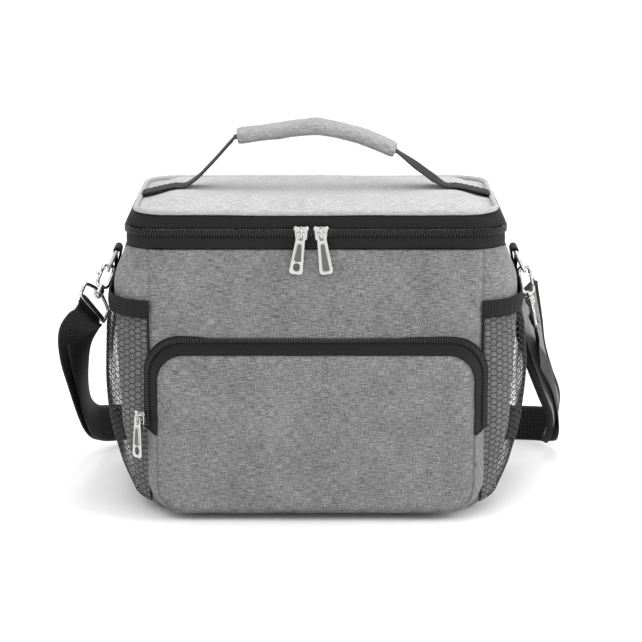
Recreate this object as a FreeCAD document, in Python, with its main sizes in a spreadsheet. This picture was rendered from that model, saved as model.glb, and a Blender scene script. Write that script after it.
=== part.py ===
import FreeCAD, Part
import os
import re

import Sketcher
from FreeCAD import Placement, Rotation, Vector

# An insulated lunch cooler bag: laminated panels (outer cloth, foam, lining), a zipped lid with a carry
# handle, a zipped front pocket, two mesh side pockets, and a shoulder strap clipped to two D-rings.
# Millimetres. The origin is the middle of the flat underside, +Z is up and the front faces -Y.

# ---------------------------------------------------------------- driving dimensions
SIZES = {
    # the bag's outline at its heights: a rounded rectangle at each
    "base_width": 252, "base_depth": 146, "base_radius": 26,
    "tray_height": 12, "tray_width": 276, "tray_radius": 30,
    "low_height": 64, "low_width": 302, "low_radius": 34,
    "mid_height": 127, "mid_width": 310, "mid_radius": 34,
    "high_height": 185, "high_width": 312, "high_radius": 34,
    "rim_height": 210, "rim_width": 290, "rim_radius": 28,
    "bag_depth": 170, "foam_top": 220, "seam_x": 127,
    # the layers of a panel
    "cloth": 1.2, "gap": 0.2, "foam": 5, "lining": 0.6, "board": 2,
    # lid
    "split_height": 223.2, "split_gap": 0.3, "lid_foam_bottom": 226, "lid_rim": 236, "dome_top": 243,
    "dome_width": 226, "dome_depth": 108, "dome_radius": 24, "piping_radius": 2.2,
    "band_back": 55, "tape": 1, "coil_height": 2.6, "coil_depth": 1.8,
    # front pocket
    "pocket_width": 258, "pocket_bottom": 4, "pocket_top": 140, "pocket_radius": 26,
    "pocket_face_width": 242, "pocket_face_bottom": 10, "pocket_face_top": 131, "pocket_face_radius": 20,
    "pocket_depth": 18, "pocket_split": 70, "pocket_root": 11,
    # mesh side pockets
    "mesh": 1, "mesh_edge_x": 131.8, "mesh_low": 8, "mesh_top": 161, "mesh_bulge": 8, "mesh_mouth": 3,
    "elastic_height": 12,
    # ring tabs and D-rings
    "tab_width": 25, "tab_bottom": 174.5, "bar_x": 157.5, "bar_z": 195, "webbing": 1.3,
    "ring_wire": 1.6, "ring_half": 15, "ring_leg": 5, "ring_play": 0.08,
    # snap hooks
    "hook_width": 11, "hook_opening": 6, "hook_thick": 4, "hook_top": 3.2, "hook_bottom": 21,
    "mouth_top": 4.5, "gate_pivot_x": 4.25, "gate_pivot_z": 14.2, "gate_knuckle": 1.3,
    "stem_radius": 1.8, "barrel_radius": 4, "barrel_top": 22.5, "barrel_bottom": 28, "eye_wire": 1.5,
    "eye_half": 17.5, "eye_shoulder": 31, "eye_bar": 42,
    # zip sliders
    "slider_length": 11, "slider_height": 10, "slider_plate": 1.2, "slider_clear": 0.3, "bail_rise": 3.8,
    "left_slider_x": -11, "right_slider_x": 4, "pull_length": 31, "pull_width": 9, "pull_plate": 1.4,
    # handle
    "handle_width": 25, "handle_hinge_z": 246.8, "handle_root_x": 99,
    # shoulder strap
    "strap_width": 30, "strap_thick": 1.4, "pad_width": 52, "pad_thick": 5, "adjuster_x": 30,
}

doc = FreeCAD.newDocument("cooler_bag")
sheet = doc.addObject("Spreadsheet::Sheet", "Sizes")
for row, (alias, size) in enumerate(SIZES.items(), start=1):
    sheet.set(f"A{row}", alias)
    sheet.set(f"B{row}", str(size))
    sheet.setAlias(f"B{row}", alias)
doc.recompute()

ALIAS = re.compile(r"\b(" + "|".join(SIZES) + r")\b")
SIDES = (("left", -1), ("right", 1))
nodes = {}


# ---------------------------------------------------------------- helpers
def bound(text):
    """An expression on the sheet: every alias in text gets the sheet's name."""
    return ALIAS.sub(r"Sizes.\1", str(text))


def mm(text):
    """The number that an expression comes to."""
    return float(sheet.evalExpression(bound(text)))


def bind(thing, **properties):
    for name, text in properties.items():
        thing.setExpression(name, bound(text))
    return thing


def put(thing, x="0", y="0", z="0"):
    for axis, text in zip("xyz", (x, y, z)):
        thing.setExpression(f".Placement.Base.{axis}", bound(text))
    return thing


def node(name, thing):
    """Marks an object as one of the bag's pieces, which is written to a file of that name."""
    thing.Label = name
    nodes[name] = thing
    return thing


def box(label, x, y, z):
    """A Part::Box between two bounds along each axis; every bound is an expression."""
    thing = doc.addObject("Part::Box", label)
    bind(thing, Length=f"({x[1]}) - ({x[0]})", Width=f"({y[1]}) - ({y[0]})", Height=f"({z[1]}) - ({z[0]})")
    return put(thing, x[0], y[0], z[0])


def cylinder(label, radius, height, x="0", y="0", z="0", turn=None):
    thing = bind(doc.addObject("Part::Cylinder", label), Radius=radius, Height=height)
    if turn is not None:
        thing.Placement = Placement(Vector(), turn)
    return put(thing, x, y, z)


def sphere(label, radius, x="0", y="0", z="0"):
    return put(bind(doc.addObject("Part::Sphere", label), Radius=radius), x, y, z)


def cut(label, base, tool):
    thing = doc.addObject("Part::Cut", label)
    thing.Base, thing.Tool = base, tool
    return thing


def common(label, base, tool):
    thing = doc.addObject("Part::Common", label)
    thing.Base, thing.Tool = base, tool
    return thing


def fuse(label, *shapes):
    thing = doc.addObject("Part::MultiFuse", label)
    thing.Shapes = list(shapes)
    return thing


def sketch_in(body, role, offset="0", rise="0"):
    """A sketch on one of the body's own origin planes, moved along its normal and up its own Y axis."""
    sketch = body.newObject("Sketcher::SketchObject", "outline")
    plane = next(f for f in body.Origin.OriginFeatures if f.Role == role)
    sketch.AttachmentSupport = (plane, "")
    sketch.MapMode = "FlatFace"
    sketch.setExpression(".AttachmentOffset.Base.z", bound(offset))
    sketch.setExpression(".AttachmentOffset.Base.y", bound(rise))
    return sketch


def rounded_rectangle(sketch, width, depth, radius):
    """Draws a rounded rectangle round the sketch's origin, with its three sizes bound to expressions."""
    x, y, r = mm(width) / 2, mm(depth) / 2, mm(radius)
    corners = [(x - r, y - r), (r - x, y - r), (r - x, r - y), (x - r, r - y)]
    starts = [(x, r - y), (x - r, y), (-x, y - r), (r - x, -y)]
    ends = [(x, y - r), (r - x, y), (-x, r - y), (x - r, -y)]
    up = Vector(0, 0, 1)
    quarter = 1.5707963267948966
    first = sketch.GeometryCount
    for i in range(4):
        sketch.addGeometry(Part.LineSegment(Vector(*starts[i], 0), Vector(*ends[i], 0)))
        circle = Part.Circle(Vector(*corners[i], 0), up, r)
        sketch.addGeometry(Part.ArcOfCircle(circle, i * quarter, (i + 1) * quarter))
    line = [first + 2 * i for i in range(4)]
    arc = [first + 2 * i + 1 for i in range(4)]
    rules = []
    for i in range(4):
        rules.append(Sketcher.Constraint("Tangent", line[i], 2, arc[i], 1))
        rules.append(Sketcher.Constraint("Tangent", arc[i], 2, line[(i + 1) % 4], 1))
        rules.append(Sketcher.Constraint("Horizontal" if i % 2 else "Vertical", line[i]))
    for i in (1, 2, 3):
        rules.append(Sketcher.Constraint("Equal", arc[0], arc[i]))
    rules.append(Sketcher.Constraint("Symmetric", arc[0], 3, arc[2], 3, -1, 1))
    sketch.addConstraint(rules)
    for kind, args, text in (
        ("DistanceX", (line[2], 1, line[0], 1), width),
        ("DistanceY", (line[3], 1, line[1], 1), depth),
        ("Radius", (arc[0],), radius),
    ):
        index = sketch.addConstraint(Sketcher.Constraint(kind, *args, mm(text)))
        name = f"{kind.lower()}_{first}"
        sketch.renameConstraint(index, name)
        sketch.setExpression(f"Constraints.{name}", bound(text))


def loft(label, role, sections):
    """A body lofted with straight sides through rounded rectangles:
    (offset, rise, width, depth, radius) each."""
    body = doc.addObject("PartDesign::Body", label)
    sketches = []
    for offset, rise, width, depth, radius in sections:
        sketch = sketch_in(body, role, offset, rise)
        rounded_rectangle(sketch, width, depth, radius)
        sketches.append(sketch)
    feature = body.newObject("PartDesign::AdditiveLoft", "skin")
    feature.Profile = sketches[0]
    feature.Sections = sketches[1:]
    feature.Ruled = True
    return body


def slab(label, role, offset, rise, height, outer, inner=None, both_ways=False):
    """A body padded from a rounded rectangle (width, depth, radius), or from the ring between two."""
    body = doc.addObject("PartDesign::Body", label)
    sketch = sketch_in(body, role, offset, rise)
    rounded_rectangle(sketch, *outer)
    if inner:
        rounded_rectangle(sketch, *inner)
    feature = body.newObject("PartDesign::Pad", "pad")
    feature.Profile = sketch
    if both_ways:
        feature.SideType = "Symmetric"
    bind(feature, Length=height)
    return body


def frame_of(along, side):
    """The rotation whose Z axis is along, and whose X axis is as near side as it can be."""
    z = Vector(*along).normalize()
    x = Vector(*side)
    x = (x - z * x.dot(z)).normalize()
    return Rotation(x, z.cross(x), z, "ZXY")


def ribbon(stations, width, thick):
    """A flat strip through stations of (middle, direction of its width), as one solid with ruled faces."""
    middles = [Vector(*at) for at, _ in stations]
    wires = []
    for i, (_, side) in enumerate(stations):
        ahead = middles[min(i + 1, len(middles) - 1)] - middles[max(i - 1, 0)]
        turn = frame_of(ahead, side)
        across = turn.multVec(Vector(width / 2, 0, 0))
        through = turn.multVec(Vector(0, thick / 2, 0))
        ring = [across + through, through - across, Vector() - across - through, across - through]
        points = [middles[i] + p for p in ring]
        wires.append(Part.makePolygon(points + points[:1]))
    solid = Part.makeLoft(wires, True, True)
    if solid.Volume < 0:
        solid = Part.makeSolid(solid.Shells[0].reversed())
    return solid


def feature(label, shape):
    thing = doc.addObject("Part::Feature", label)
    thing.Shape = shape
    return thing


# ---------------------------------------------------------------- the bag's laminated shell
LEVELS = ("tray", "low", "mid", "high", "rim")


def hull(label, inset, bottom, top):
    """The space inside the bag's outline, inset all round, from one height to another."""
    grown = f"({bottom}) * (tray_width - base_width) / tray_height - 2 * ({inset})"
    sections = [(bottom, "0", f"base_width + {grown}", f"base_depth + {grown}",
                 f"base_radius + ({bottom}) * (tray_radius - base_radius) / tray_height - ({inset})")]
    for level in LEVELS:
        sections.append((f"{level}_height", "0", f"{level}_width - 2 * ({inset})",
                         f"bag_depth - 2 * ({inset})", f"{level}_radius - ({inset})"))
    if top != "rim_height":
        sections.append((top, "0") + sections[-1][2:])
    return loft(label, "XY_Plane", sections)


FOAM_OUT = "(cloth + gap)"
FOAM_IN = "(cloth + gap + foam)"
LINING_OUT = "(cloth + 2 * gap + foam)"
LINING_IN = "(cloth + 2 * gap + foam + lining)"
BOARD_TOP = "(cloth + gap + board)"
FOAM_FLOOR = f"({BOARD_TOP} + gap)"


def shell():
    """Cloth panels, foam panels, lining, base board and rim binding."""
    cloth = cut("cloth_shell", hull("cloth_outside", "0", "0", "rim_height"),
                hull("cloth_inside", "cloth", "cloth", "foam_top"))
    foam = cut("foam_shell", hull("foam_outside", FOAM_OUT, FOAM_FLOOR, "foam_top"),
               hull("foam_inside", FOAM_IN, f"{FOAM_FLOOR} + foam", "foam_top + 1"))
    far = "bag_depth"
    middle, past = ("-seam_x", "seam_x"), "seam_x + gap / 2"
    walls = ("tray_height + gap / 2", "foam_top")
    for name, y in (("front", (f"-{far}", "0")), ("back", ("0", far))):
        zone = box(f"{name}_zone", middle, y, walls)
        node(f"{name}_panel", common(f"{name}_cloth", cloth, zone))
        node(f"{name}_foam", common(f"{name}_core", foam, zone))
    for name, sign in SIDES:
        x = (past, "mid_width") if sign > 0 else ("-mid_width", f"-({past})")
        zone = box(f"{name}_zone", x, (f"-{far}", far), walls)
        node(f"{name}_side_panel", common(f"{name}_cloth", cloth, zone))
        node(f"{name}_side_foam", common(f"{name}_core", foam, zone))
    floor_zone = box("floor_zone", ("-mid_width", "mid_width"), (f"-{far}", far), ("0", "tray_height - gap / 2"))
    node("base_panel", common("base_cloth", cloth, floor_zone))
    node("base_foam", common("base_core", foam, floor_zone))
    node("base_board", slab("board", "XY_Plane", FOAM_OUT, "0", "board",
                            ("base_width - 4", "base_depth - 4", "base_radius - 2")))
    node("inner_lining", cut("lining_shell",
                             hull("lining_outside", LINING_OUT, f"{FOAM_FLOOR} + foam + gap", "foam_top"),
                             hull("lining_inside", LINING_IN, f"{FOAM_FLOOR} + foam + gap + lining", "foam_top + 1")))
    node("rim_binding", slab("binding", "XY_Plane", "foam_top + gap", "0", "0.8",
                             inset_rim(FOAM_OUT), inset_rim(LINING_IN)))


def inset_rim(inset):
    return (f"rim_width - 2 * ({inset})", f"bag_depth - 2 * ({inset})", f"rim_radius - ({inset})")


# ---------------------------------------------------------------- main zip and lid
def band(label, bottom, height, out, through, front=True):
    """Part of a ring round the rim: its front and sides, or only its back."""
    ring = slab(f"{label}_ring", "XY_Plane", bottom, "0", height,
                inset_rim(f"-({out})"), inset_rim(f"{through} - ({out})"))
    y = ("-bag_depth", "band_back - gap") if front else ("band_back", "bag_depth")
    zone = box(f"{label}_zone", ("-mid_width", "mid_width"), y, ("0", "2 * lid_rim"))
    return common(f"{label}_band", ring, zone)


def main_zip():
    """Two tapes, each with its coil, and the strips of cloth that close the ring at the back."""
    low, high = "rim_height + gap / 2", "split_height + split_gap"
    low_height = "split_height - split_gap - rim_height - gap / 2"
    high_height = "lid_rim - split_height - split_gap"
    node("lower_zip_tape", band("lower_tape", low, low_height, "0", "tape"))
    node("upper_zip_tape", band("upper_tape", high, high_height, "0", "tape"))
    node("lid_hinge_strip", band("hinge", low, low_height, "0", "tape", front=False))
    node("lid_back_band", band("back", high, high_height, "0", "tape", front=False))
    coil_out = "coil_depth + gap / 2"
    node("lower_zip_coil", band("lower_coil", "split_height - split_gap - coil_height", "coil_height",
                                coil_out, "coil_depth"))
    node("upper_zip_coil", band("upper_coil", high, "coil_height", coil_out, "coil_depth"))


def lid():
    """Domed padded lid: cloth over foam, a lining under it and piping round its edge."""
    dome = [("dome_top", "0", "dome_width", "dome_depth", "dome_radius")]

    def cap(label, inset, bottom, rise):
        edge = (f"rim_width - 2 * ({inset})", f"bag_depth - 2 * ({inset})", f"rim_radius - ({inset})")
        top = (f"dome_top + ({rise})", "0") + dome[0][2:]
        return loft(label, "XY_Plane", [(bottom, "0") + edge, (f"lid_rim + ({rise})", "0") + edge, top])

    node("lid_foam", cap("lid_core", "tape + gap + 1.2", "lid_foam_bottom", "0"))
    outside = cap("lid_outside", "2.5", "lid_rim + gap", "gap + cloth")
    inside = cap("lid_inside", "tape + gap + 1.2", "lid_foam_bottom", "gap")
    node("lid_panel", cut("lid_cloth", outside, inside))
    node("lid_lining", slab("lid_liner", "XY_Plane", "lid_foam_bottom - gap - lining", "0", "lining",
                            inset_rim("tape + gap + 1.2")))
    path = doc.addObject("Sketcher::SketchObject", "piping_path")
    path.setExpression(".Placement.Base.z", bound("lid_rim + gap + piping_radius"))
    rounded_rectangle(path, "rim_width", "bag_depth", "rim_radius")
    section = doc.addObject("Sketcher::SketchObject", "piping_section")
    section.Placement = Placement(Vector(), Rotation(Vector(1, 0, 0), 90))
    put(section, "rim_width / 2", "0", "lid_rim + gap + piping_radius")
    section.addGeometry(Part.Circle(Vector(), Vector(0, 0, 1), mm("piping_radius")))
    section.addConstraint(Sketcher.Constraint("Coincident", 0, 3, -1, 1))
    section.addConstraint(Sketcher.Constraint("Radius", 0, mm("piping_radius")))
    section.setExpression("Constraints[1]", bound("piping_radius"))
    sweep = doc.addObject("Part::Sweep", "piping_sweep")
    sweep.Sections = [section]
    sweep.Spine = (path, [f"Edge{i}" for i in range(1, 9)])
    sweep.Solid = True
    node("lid_piping", sweep)


# ---------------------------------------------------------------- zip sliders and pulls
def slider(name, pull_lean, turn, x, y, z):
    """A slider's front plate with its bail, and the pull that hangs from it.
    Both are made facing -Y, with the plate's back at the origin, then turned and moved into place."""
    half, tall = "slider_length / 2", "slider_height / 2"
    plate = box(f"{name}_plate", (f"-{half}", half), ("-slider_plate", "0"), (f"-{tall}", tall))
    lower_wing = box(f"{name}_wing", (f"-{half}", half), ("0", "coil_depth + 0.2"),
                     (f"-{tall}", f"-{tall} + 1.2"))
    posts = [box(f"{name}_post_{i}", ("-1", "1"), ("-slider_plate - bail_rise", "-slider_plate"),
                 (f"{place}", f"{place} + 1.2")) for i, place in enumerate(("1.5", "-4.2"))]
    bridge = box(f"{name}_bridge", ("-1", "1"), ("-slider_plate - bail_rise - 1.2", "-slider_plate - bail_rise"),
                 ("-4.2", "2.7"))
    body = fuse(f"{name}_body", plate, lower_wing, *posts, bridge)
    half_pull = "pull_width / 2"
    leaf = box(f"{name}_leaf", (f"-{half_pull}", half_pull), ("-pull_plate / 2", "pull_plate / 2"),
               ("-pull_length", "0.8"))
    eye = box(f"{name}_pull_eye", ("-2.2", "2.2"), ("-pull_plate", "pull_plate"), ("-6.2", "-0.5"))
    finger = box(f"{name}_pull_hole", ("-2.6", "2.6"), ("-pull_plate", "pull_plate"),
                 ("-pull_length + 2", "-pull_length + 8"))
    pull = cut(f"{name}_pull_body", leaf, fuse(f"{name}_pull_holes", eye, finger))
    stand_off = mm("slider_plate + bail_rise / 2")
    hinge = Vector(0, -stand_off, 0)
    place = Vector(mm(x), mm(y), mm(z))
    body.Placement = Placement(place, turn)
    lean = Rotation(Vector(0, 1, 0), pull_lean)
    pull.Placement = Placement(place + turn.multVec(hinge), turn * lean)
    node(f"{name}_slider", body)
    node(f"{name}_pull", pull)


def zip_sliders():
    face = "-bag_depth / 2 - coil_depth - gap / 2 - slider_clear"
    straight = Rotation()
    slider("left_lid", 8, straight, "left_slider_x", face, "split_height")
    slider("right_lid", -8, straight, "right_slider_x", face, "split_height")
    quarter_left = Rotation(Vector(0, 0, 1), -45)
    slider("pocket", 2, quarter_left, "-pocket_width / 2 - 5.4", "-bag_depth / 2 - 6.4", "pocket_split + 10")


# ---------------------------------------------------------------- front pocket
def front_pocket():
    """A pouch sewn to the front panel, and the upper part that its zip frees, which folds forward."""
    root = "bag_depth / 2 - pocket_root"
    face = "bag_depth / 2 + pocket_depth"
    middle = "(pocket_top + pocket_bottom) / 2"
    face_middle = "(pocket_face_top + pocket_face_bottom) / 2"

    def form(label, skin, depth):
        back = (f"pocket_width - 2 * ({skin})", f"pocket_top - pocket_bottom - 2 * ({skin})",
                f"pocket_radius - ({skin})")
        front = (f"pocket_face_width - 2 * ({skin})",
                 f"pocket_face_top - pocket_face_bottom - 2 * ({skin})", f"pocket_face_radius - ({skin})")
        return loft(label, "XZ_Plane", [(root, middle) + back, ("bag_depth / 2", middle) + back,
                                        (f"{face} - ({depth})", face_middle) + front])

    clear = hull("pocket_clearance", "-0.25", "0", "rim_height")
    skin = cut("pocket_skin", form("pocket_outside", "0", "0"), form("pocket_inside", "cloth", "cloth"))
    skin = cut("pocket_shell", skin, clear)
    wide = ("-mid_width", "mid_width")
    above = ("pocket_split + split_gap", "mid_width")
    edge = f"-({face}) + cloth"
    node("pocket_pouch", common("pouch", skin, box("pouch_zone", wide, ("-mid_width", "0"),
                                                   ("0", "pocket_split - split_gap"))))
    node("pocket_flap", common("flap", skin, box("flap_zone", wide, (f"-({face})", edge), above)))
    node("pocket_flap_tape", common("flap_tape", skin, box("tape_zone", wide, (f"{edge} + gap / 2", "0"), above)))
    span = "pocket_top - pocket_bottom"
    out = "2 * (coil_depth + split_gap)"
    ring = slab("pocket_coil_ring", "XZ_Plane", root, middle, "pocket_root + 2.4",
                (f"pocket_width + {out}", f"{span} + {out}", "pocket_radius + coil_depth + split_gap"),
                ("pocket_width + 2 * split_gap", f"{span} + 2 * split_gap", "pocket_radius + split_gap"))
    fixed = cut("pocket_coil_fixed", ring, clear)
    node("pocket_bag_coil", common("bag_coil", fixed, box("bag_coil_zone", wide, ("-mid_width", "0"), above)))


# ---------------------------------------------------------------- mesh side pockets
def mesh_pockets():
    """Nets sewn in at the base and at the front and back, held in at the mouth by an elastic."""
    def net_hull(label, skin):
        def at(level, stand_off):
            return (f"{level}_width + 2 * ({stand_off} + {skin})", f"bag_depth + 2 * (gap + {skin})",
                    f"{level}_radius + {skin}")
        mouth = f"high_width + 2 * (mesh_mouth + {skin})"
        flat = (f"bag_depth + 2 * (gap + {skin})", f"high_radius + {skin}")
        return loft(label, "XY_Plane", [
            ("mesh_low", "0", f"tray_width - 4 + 2 * (gap + {skin})", f"bag_depth - 6 + 2 * (gap + {skin})",
             f"tray_radius + {skin}"),
            ("low_height - 24", "0") + at("low", "mesh_bulge - 2"),
            ("mid_height - 15", "0") + at("mid", "mesh_bulge"),
            ("mesh_top", "0", mouth) + flat,
            ("mesh_top + elastic_height", "0", mouth) + flat])

    clear = hull("mesh_clearance", "-gap", "0", "rim_height")
    skin = cut("net_skin", net_hull("net_outside", "mesh"), net_hull("net_inside", "0"))
    skin = cut("net_shell", skin, clear)
    for name, sign in SIDES:
        x = ("mesh_edge_x", "high_width") if sign > 0 else ("-high_width", "-mesh_edge_x")
        y = ("-bag_depth", "bag_depth")
        low = box(f"{name}_net_zone", x, y, ("0", "mesh_top - gap / 2"))
        high = box(f"{name}_elastic_zone", x, y, ("mesh_top", "mesh_top + elastic_height"))
        node(f"{name}_mesh_pocket", common(f"{name}_net", skin, low))
        node(f"{name}_pocket_elastic", common(f"{name}_elastic", skin, high))


# ---------------------------------------------------------------- D-rings and their webbing tabs
RING_LEAN = 25  # degrees that a ring hangs outward from straight down
TURN_ALONG_Y = Rotation(Vector(1, 0, 0), -90)


def ring_frame(sign):
    """Where a D-ring's bar is, and the rotation that leans its plane outward."""
    at = Vector(sign * mm("bar_x"), 0, mm("bar_z"))
    return Placement(at, Rotation(Vector(0, 1, 0), -sign * RING_LEAN))


def ring_and_tab(name, sign):
    half = "ring_half"
    bar = cylinder(f"{name}_bar", "ring_wire", "2 * ring_half", y=f"-{half}", turn=TURN_ALONG_Y)
    parts = [bar]
    for end in ("-ring_half", "ring_half"):
        parts.append(sphere(f"{name}_elbow", "ring_wire", y=end))
        parts.append(cylinder(f"{name}_leg", "ring_wire", "ring_leg", y=end, z="-ring_leg"))
    bow = bind(doc.addObject("Part::Torus", f"{name}_bow"), Radius1="ring_half", Radius2="ring_wire", Angle3="180")
    bow.Placement = Placement(Vector(), Rotation(Vector(0, 1, 0), Vector(0, 0, -1), Vector(-1, 0, 0), "XYZ"))
    parts.append(put(bow, z="-ring_leg"))
    ring = fuse(f"{name}_ring", *parts)
    ring.Placement = ring_frame(sign)
    node(f"{name}_d_ring", ring)

    inner, outer = "ring_wire + ring_play", "ring_wire + ring_play + webbing"
    width, back = "tab_width", "-tab_width / 2"
    face = "high_width / 2 + gap"
    loop = cylinder(f"{name}_loop", outer, width, "bar_x", back, "bar_z", TURN_ALONG_Y)
    bore = cylinder(f"{name}_loop_bore", inner, f"{width} + 4", "bar_x", f"{back} - 2", "bar_z", TURN_ALONG_Y)
    strip = box(f"{name}_strip", (face, f"{face} + webbing"), (back, "tab_width / 2"), ("tab_bottom", "bar_z"))
    tab = cut(f"{name}_tab", fuse(f"{name}_tab_body", loop, strip), bore)
    if sign < 0:
        tab.Placement = Placement(Vector(), Rotation(Vector(0, 0, 1), 180))
    node(f"{name}_ring_tab", tab)


# ---------------------------------------------------------------- swivel snap hooks
# Each hook hangs on its ring at an angle round the bow, and points away along the ring's plane there.
HOOK_ROUND_BOW = {"left": 45, "right": 0}  # degrees from the bow's lowest point towards the front
HOOK_LEAN = {"left": 23, "right": 12}  # degrees that a hook hangs outward from straight down
EYE_SIDE = {"left": (0.475, 0.563, -0.676), "right": (0, 1, 0)}  # which way each eye's bar lies
WIRE_DROP = 1.5  # the ring's wire sits this far below the origin of the hook's own frame


def hook_frame(name, sign):
    """The hook's placement: its own -Z points away from the ring, and its Y is along the ring's wire."""
    ring = ring_frame(sign)
    forward = Rotation(Vector(1, 0, 0), -HOOK_ROUND_BOW[name])
    away = forward.multVec(Vector(0, 0, -1))
    wire = forward.multVec(Vector(0, sign, 0))
    contact = Vector(0, 0, -mm("ring_leg")) + away * mm("ring_half")
    lean = Rotation(Vector(0, 1, 0), -sign * HOOK_LEAN[name])
    up, along = lean.multVec(away * -1), lean.multVec(wire)
    turn = Rotation(along.cross(up), along, up, "ZYX")
    return Placement(ring.multVec(contact) + up * WIRE_DROP, turn)


def snap_hook(name, sign):
    place = hook_frame(name, sign)
    middle = "(hook_top - hook_bottom) / 2"
    tall = "hook_top + hook_bottom"
    rim = "(hook_width - hook_opening)"
    link = slab(f"{name}_link", "XZ_Plane", "0", middle, "hook_thick",
                ("hook_width", tall, "hook_width / 2 - 0.5"),
                ("hook_opening", f"{tall} - {rim}", "hook_opening / 2 - 0.5"), both_ways=True)
    mouth = box(f"{name}_mouth", ("hook_opening / 2 - 0.5", "hook_width"), ("-hook_thick", "hook_thick"),
                ("-gate_pivot_z", "-mouth_top"))
    seat = cylinder(f"{name}_seat", "gate_knuckle + 0.06", "2 * hook_thick", "gate_pivot_x", "-hook_thick",
                    "-gate_pivot_z", TURN_ALONG_Y)
    claw = cut(f"{name}_claw", link, fuse(f"{name}_mouth_cut", mouth, seat))
    stem = cylinder(f"{name}_stem", "stem_radius", "barrel_bottom + 1 - hook_bottom + 0.5", z="-barrel_bottom - 1")
    head = cylinder(f"{name}_head", "stem_radius + 1.2", "2.2", z="-barrel_bottom - 2.5")
    hook = fuse(f"{name}_hook", claw, stem, head)
    hook.Placement = place
    node(f"{name}_snap_hook", hook)

    knuckle = cylinder(f"{name}_knuckle", "gate_knuckle", "hook_thick", "gate_pivot_x", "-hook_thick / 2",
                       "-gate_pivot_z", TURN_ALONG_Y)
    leaf = box(f"{name}_gate_leaf", ("gate_pivot_x - 1", "gate_pivot_x + 1"), ("-1.6", "1.6"),
               ("-gate_pivot_z", "-mouth_top - 0.4"))
    lever = box(f"{name}_gate_lever", ("gate_pivot_x", "gate_pivot_x + 4"), ("-1.6", "1.6"),
                ("-gate_pivot_z + 4", "-gate_pivot_z + 5.5"))
    gate = fuse(f"{name}_gate", knuckle, leaf, lever)
    gate.Placement = place
    node(f"{name}_hook_gate", gate)
    eye(name, place)


def eye(name, place):
    """The wire eye under a hook: a barrel that the hook's stem turns in, two arms and the strap's bar."""
    barrel = cylinder(f"{name}_barrel", "barrel_radius", "barrel_bottom - barrel_top", z="-barrel_bottom")
    bore = cylinder(f"{name}_bore", "stem_radius + 0.06", "20", z="-barrel_bottom - 2")
    arms = []
    for sign in (-1, 1):
        run = [Vector(sign * mm("barrel_radius - 1"), 0, -mm("(barrel_top + barrel_bottom) / 2")),
               Vector(sign * mm("eye_half"), 0, -mm("eye_shoulder")), Vector(sign * mm("eye_half"), 0, -mm("eye_bar"))]
        for start, end in zip(run, run[1:]):
            arm = bind(doc.addObject("Part::Cylinder", f"{name}_arm"), Radius="eye_wire")
            arm.Height = (end - start).Length
            arm.Placement = Placement(start, Rotation(Vector(0, 0, 1), end - start))
            arms.append(arm)
        for x, z in ((sign * mm("eye_half"), -mm("eye_shoulder")), (sign * mm("eye_half"), -mm("eye_bar"))):
            arms.append(sphere(f"{name}_corner", "eye_wire", x, "0", z))
    bar = cylinder(f"{name}_eye_bar", "eye_wire", "2 * eye_half", "-eye_half", "0", "-eye_bar",
                   Rotation(Vector(0, 1, 0), 90))
    wire = cut(f"{name}_eye_body", fuse(f"{name}_eye_wire", barrel, bar, *arms), bore)
    wire.Placement = eye_frame(name, place)
    node(f"{name}_hook_eye", wire)


def eye_frame(name, place):
    up = place.Rotation.multVec(Vector(0, 0, 1))
    return Placement(place.Base, frame_of(up, EYE_SIDE[name]))


# ---------------------------------------------------------------- shoulder strap
# The strap's route between the eyes: the middle of the webbing and the direction of its width.
STRAP_ROUTE = [
    ((-188, -38, 137), (0.60, 0.66, -0.45)),
    ((-193, -24, 115), (0.40, 0.90, -0.05)),
    ((-193.5, -4, 90), (0.20, 0.92, 0.33)),
    ((-192.5, 24, 64), (0.08, 0.80, 0.60)),
    ((-191, 58, 42), (0.0, 0.60, 0.80)),
    ((-186, 94, 27), (0.0, 0.35, 0.94)),
    ((-170, 122, 20), (0.0, 0.12, 0.99)),
    ((-140, 136, 18), (0.0, 0.0, 1.0)),
    ((-90, 139, 17.6), (0.0, 0.0, 1.0)),
    ((0, 140, 17.6), (0.0, 0.0, 1.0)),
    ((80, 140, 17.6), (0.0, 0.0, 1.0)),
    ((122, 140, 15.6), (0.0, 0.25, 0.97)),
    ((160, 140, 14.6), (0.0, 0.40, 0.92)),
    ((188, 136, 14.6), (0.0, 0.40, 0.92)),
    ((202, 124, 17), (0.0, 0.45, 0.89)),
    ((206, 107, 25), (0.0, 0.62, 0.78)),
    ((203, 87, 46), (0.0, 0.80, 0.60)),
    ((195, 59, 75), (0.0, 0.80, 0.60)),
    ((183, 34, 99), (0.0, 0.88, 0.45)),
    ((179, 12, 113), (0.0, 0.97, 0.20)),
]
# The strap's doubled end, which comes back from the left eye to the adjuster's bar inside the strap.
RETURN_ROUTE = [
    ((-187.5, 3, 88), (0.20, 0.92, 0.33)),
    ((-188, 26, 64), (0.08, 0.80, 0.60)),
    ((-187, 57, 42), (0.0, 0.60, 0.80)),
    ((-182, 91, 27), (0.0, 0.35, 0.94)),
    ((-167, 118, 20), (0.0, 0.12, 0.99)),
    ((-139, 132, 18), (0.0, 0.0, 1.0)),
    ((-90, 135, 17.6), (0.0, 0.0, 1.0)),
    ((10, 136, 17.6), (0.0, 0.0, 1.0)),
]
PAD_ROUTE = [
    ((200.5, 104, 21), (0.0, 0.80, 0.60)),
    ((197.5, 87, 45), (0.0, 0.80, 0.60)),
    ((189, 62, 73), (0.0, 0.80, 0.60)),
    ((174.5, 49, 107), (0.0, 0.92, 0.35)),
    ((167.5, 47, 131), (0.0, 0.98, 0.10)),
    ((164.8, 47, 157), (0.0, 1.0, 0.0)),
]


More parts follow.
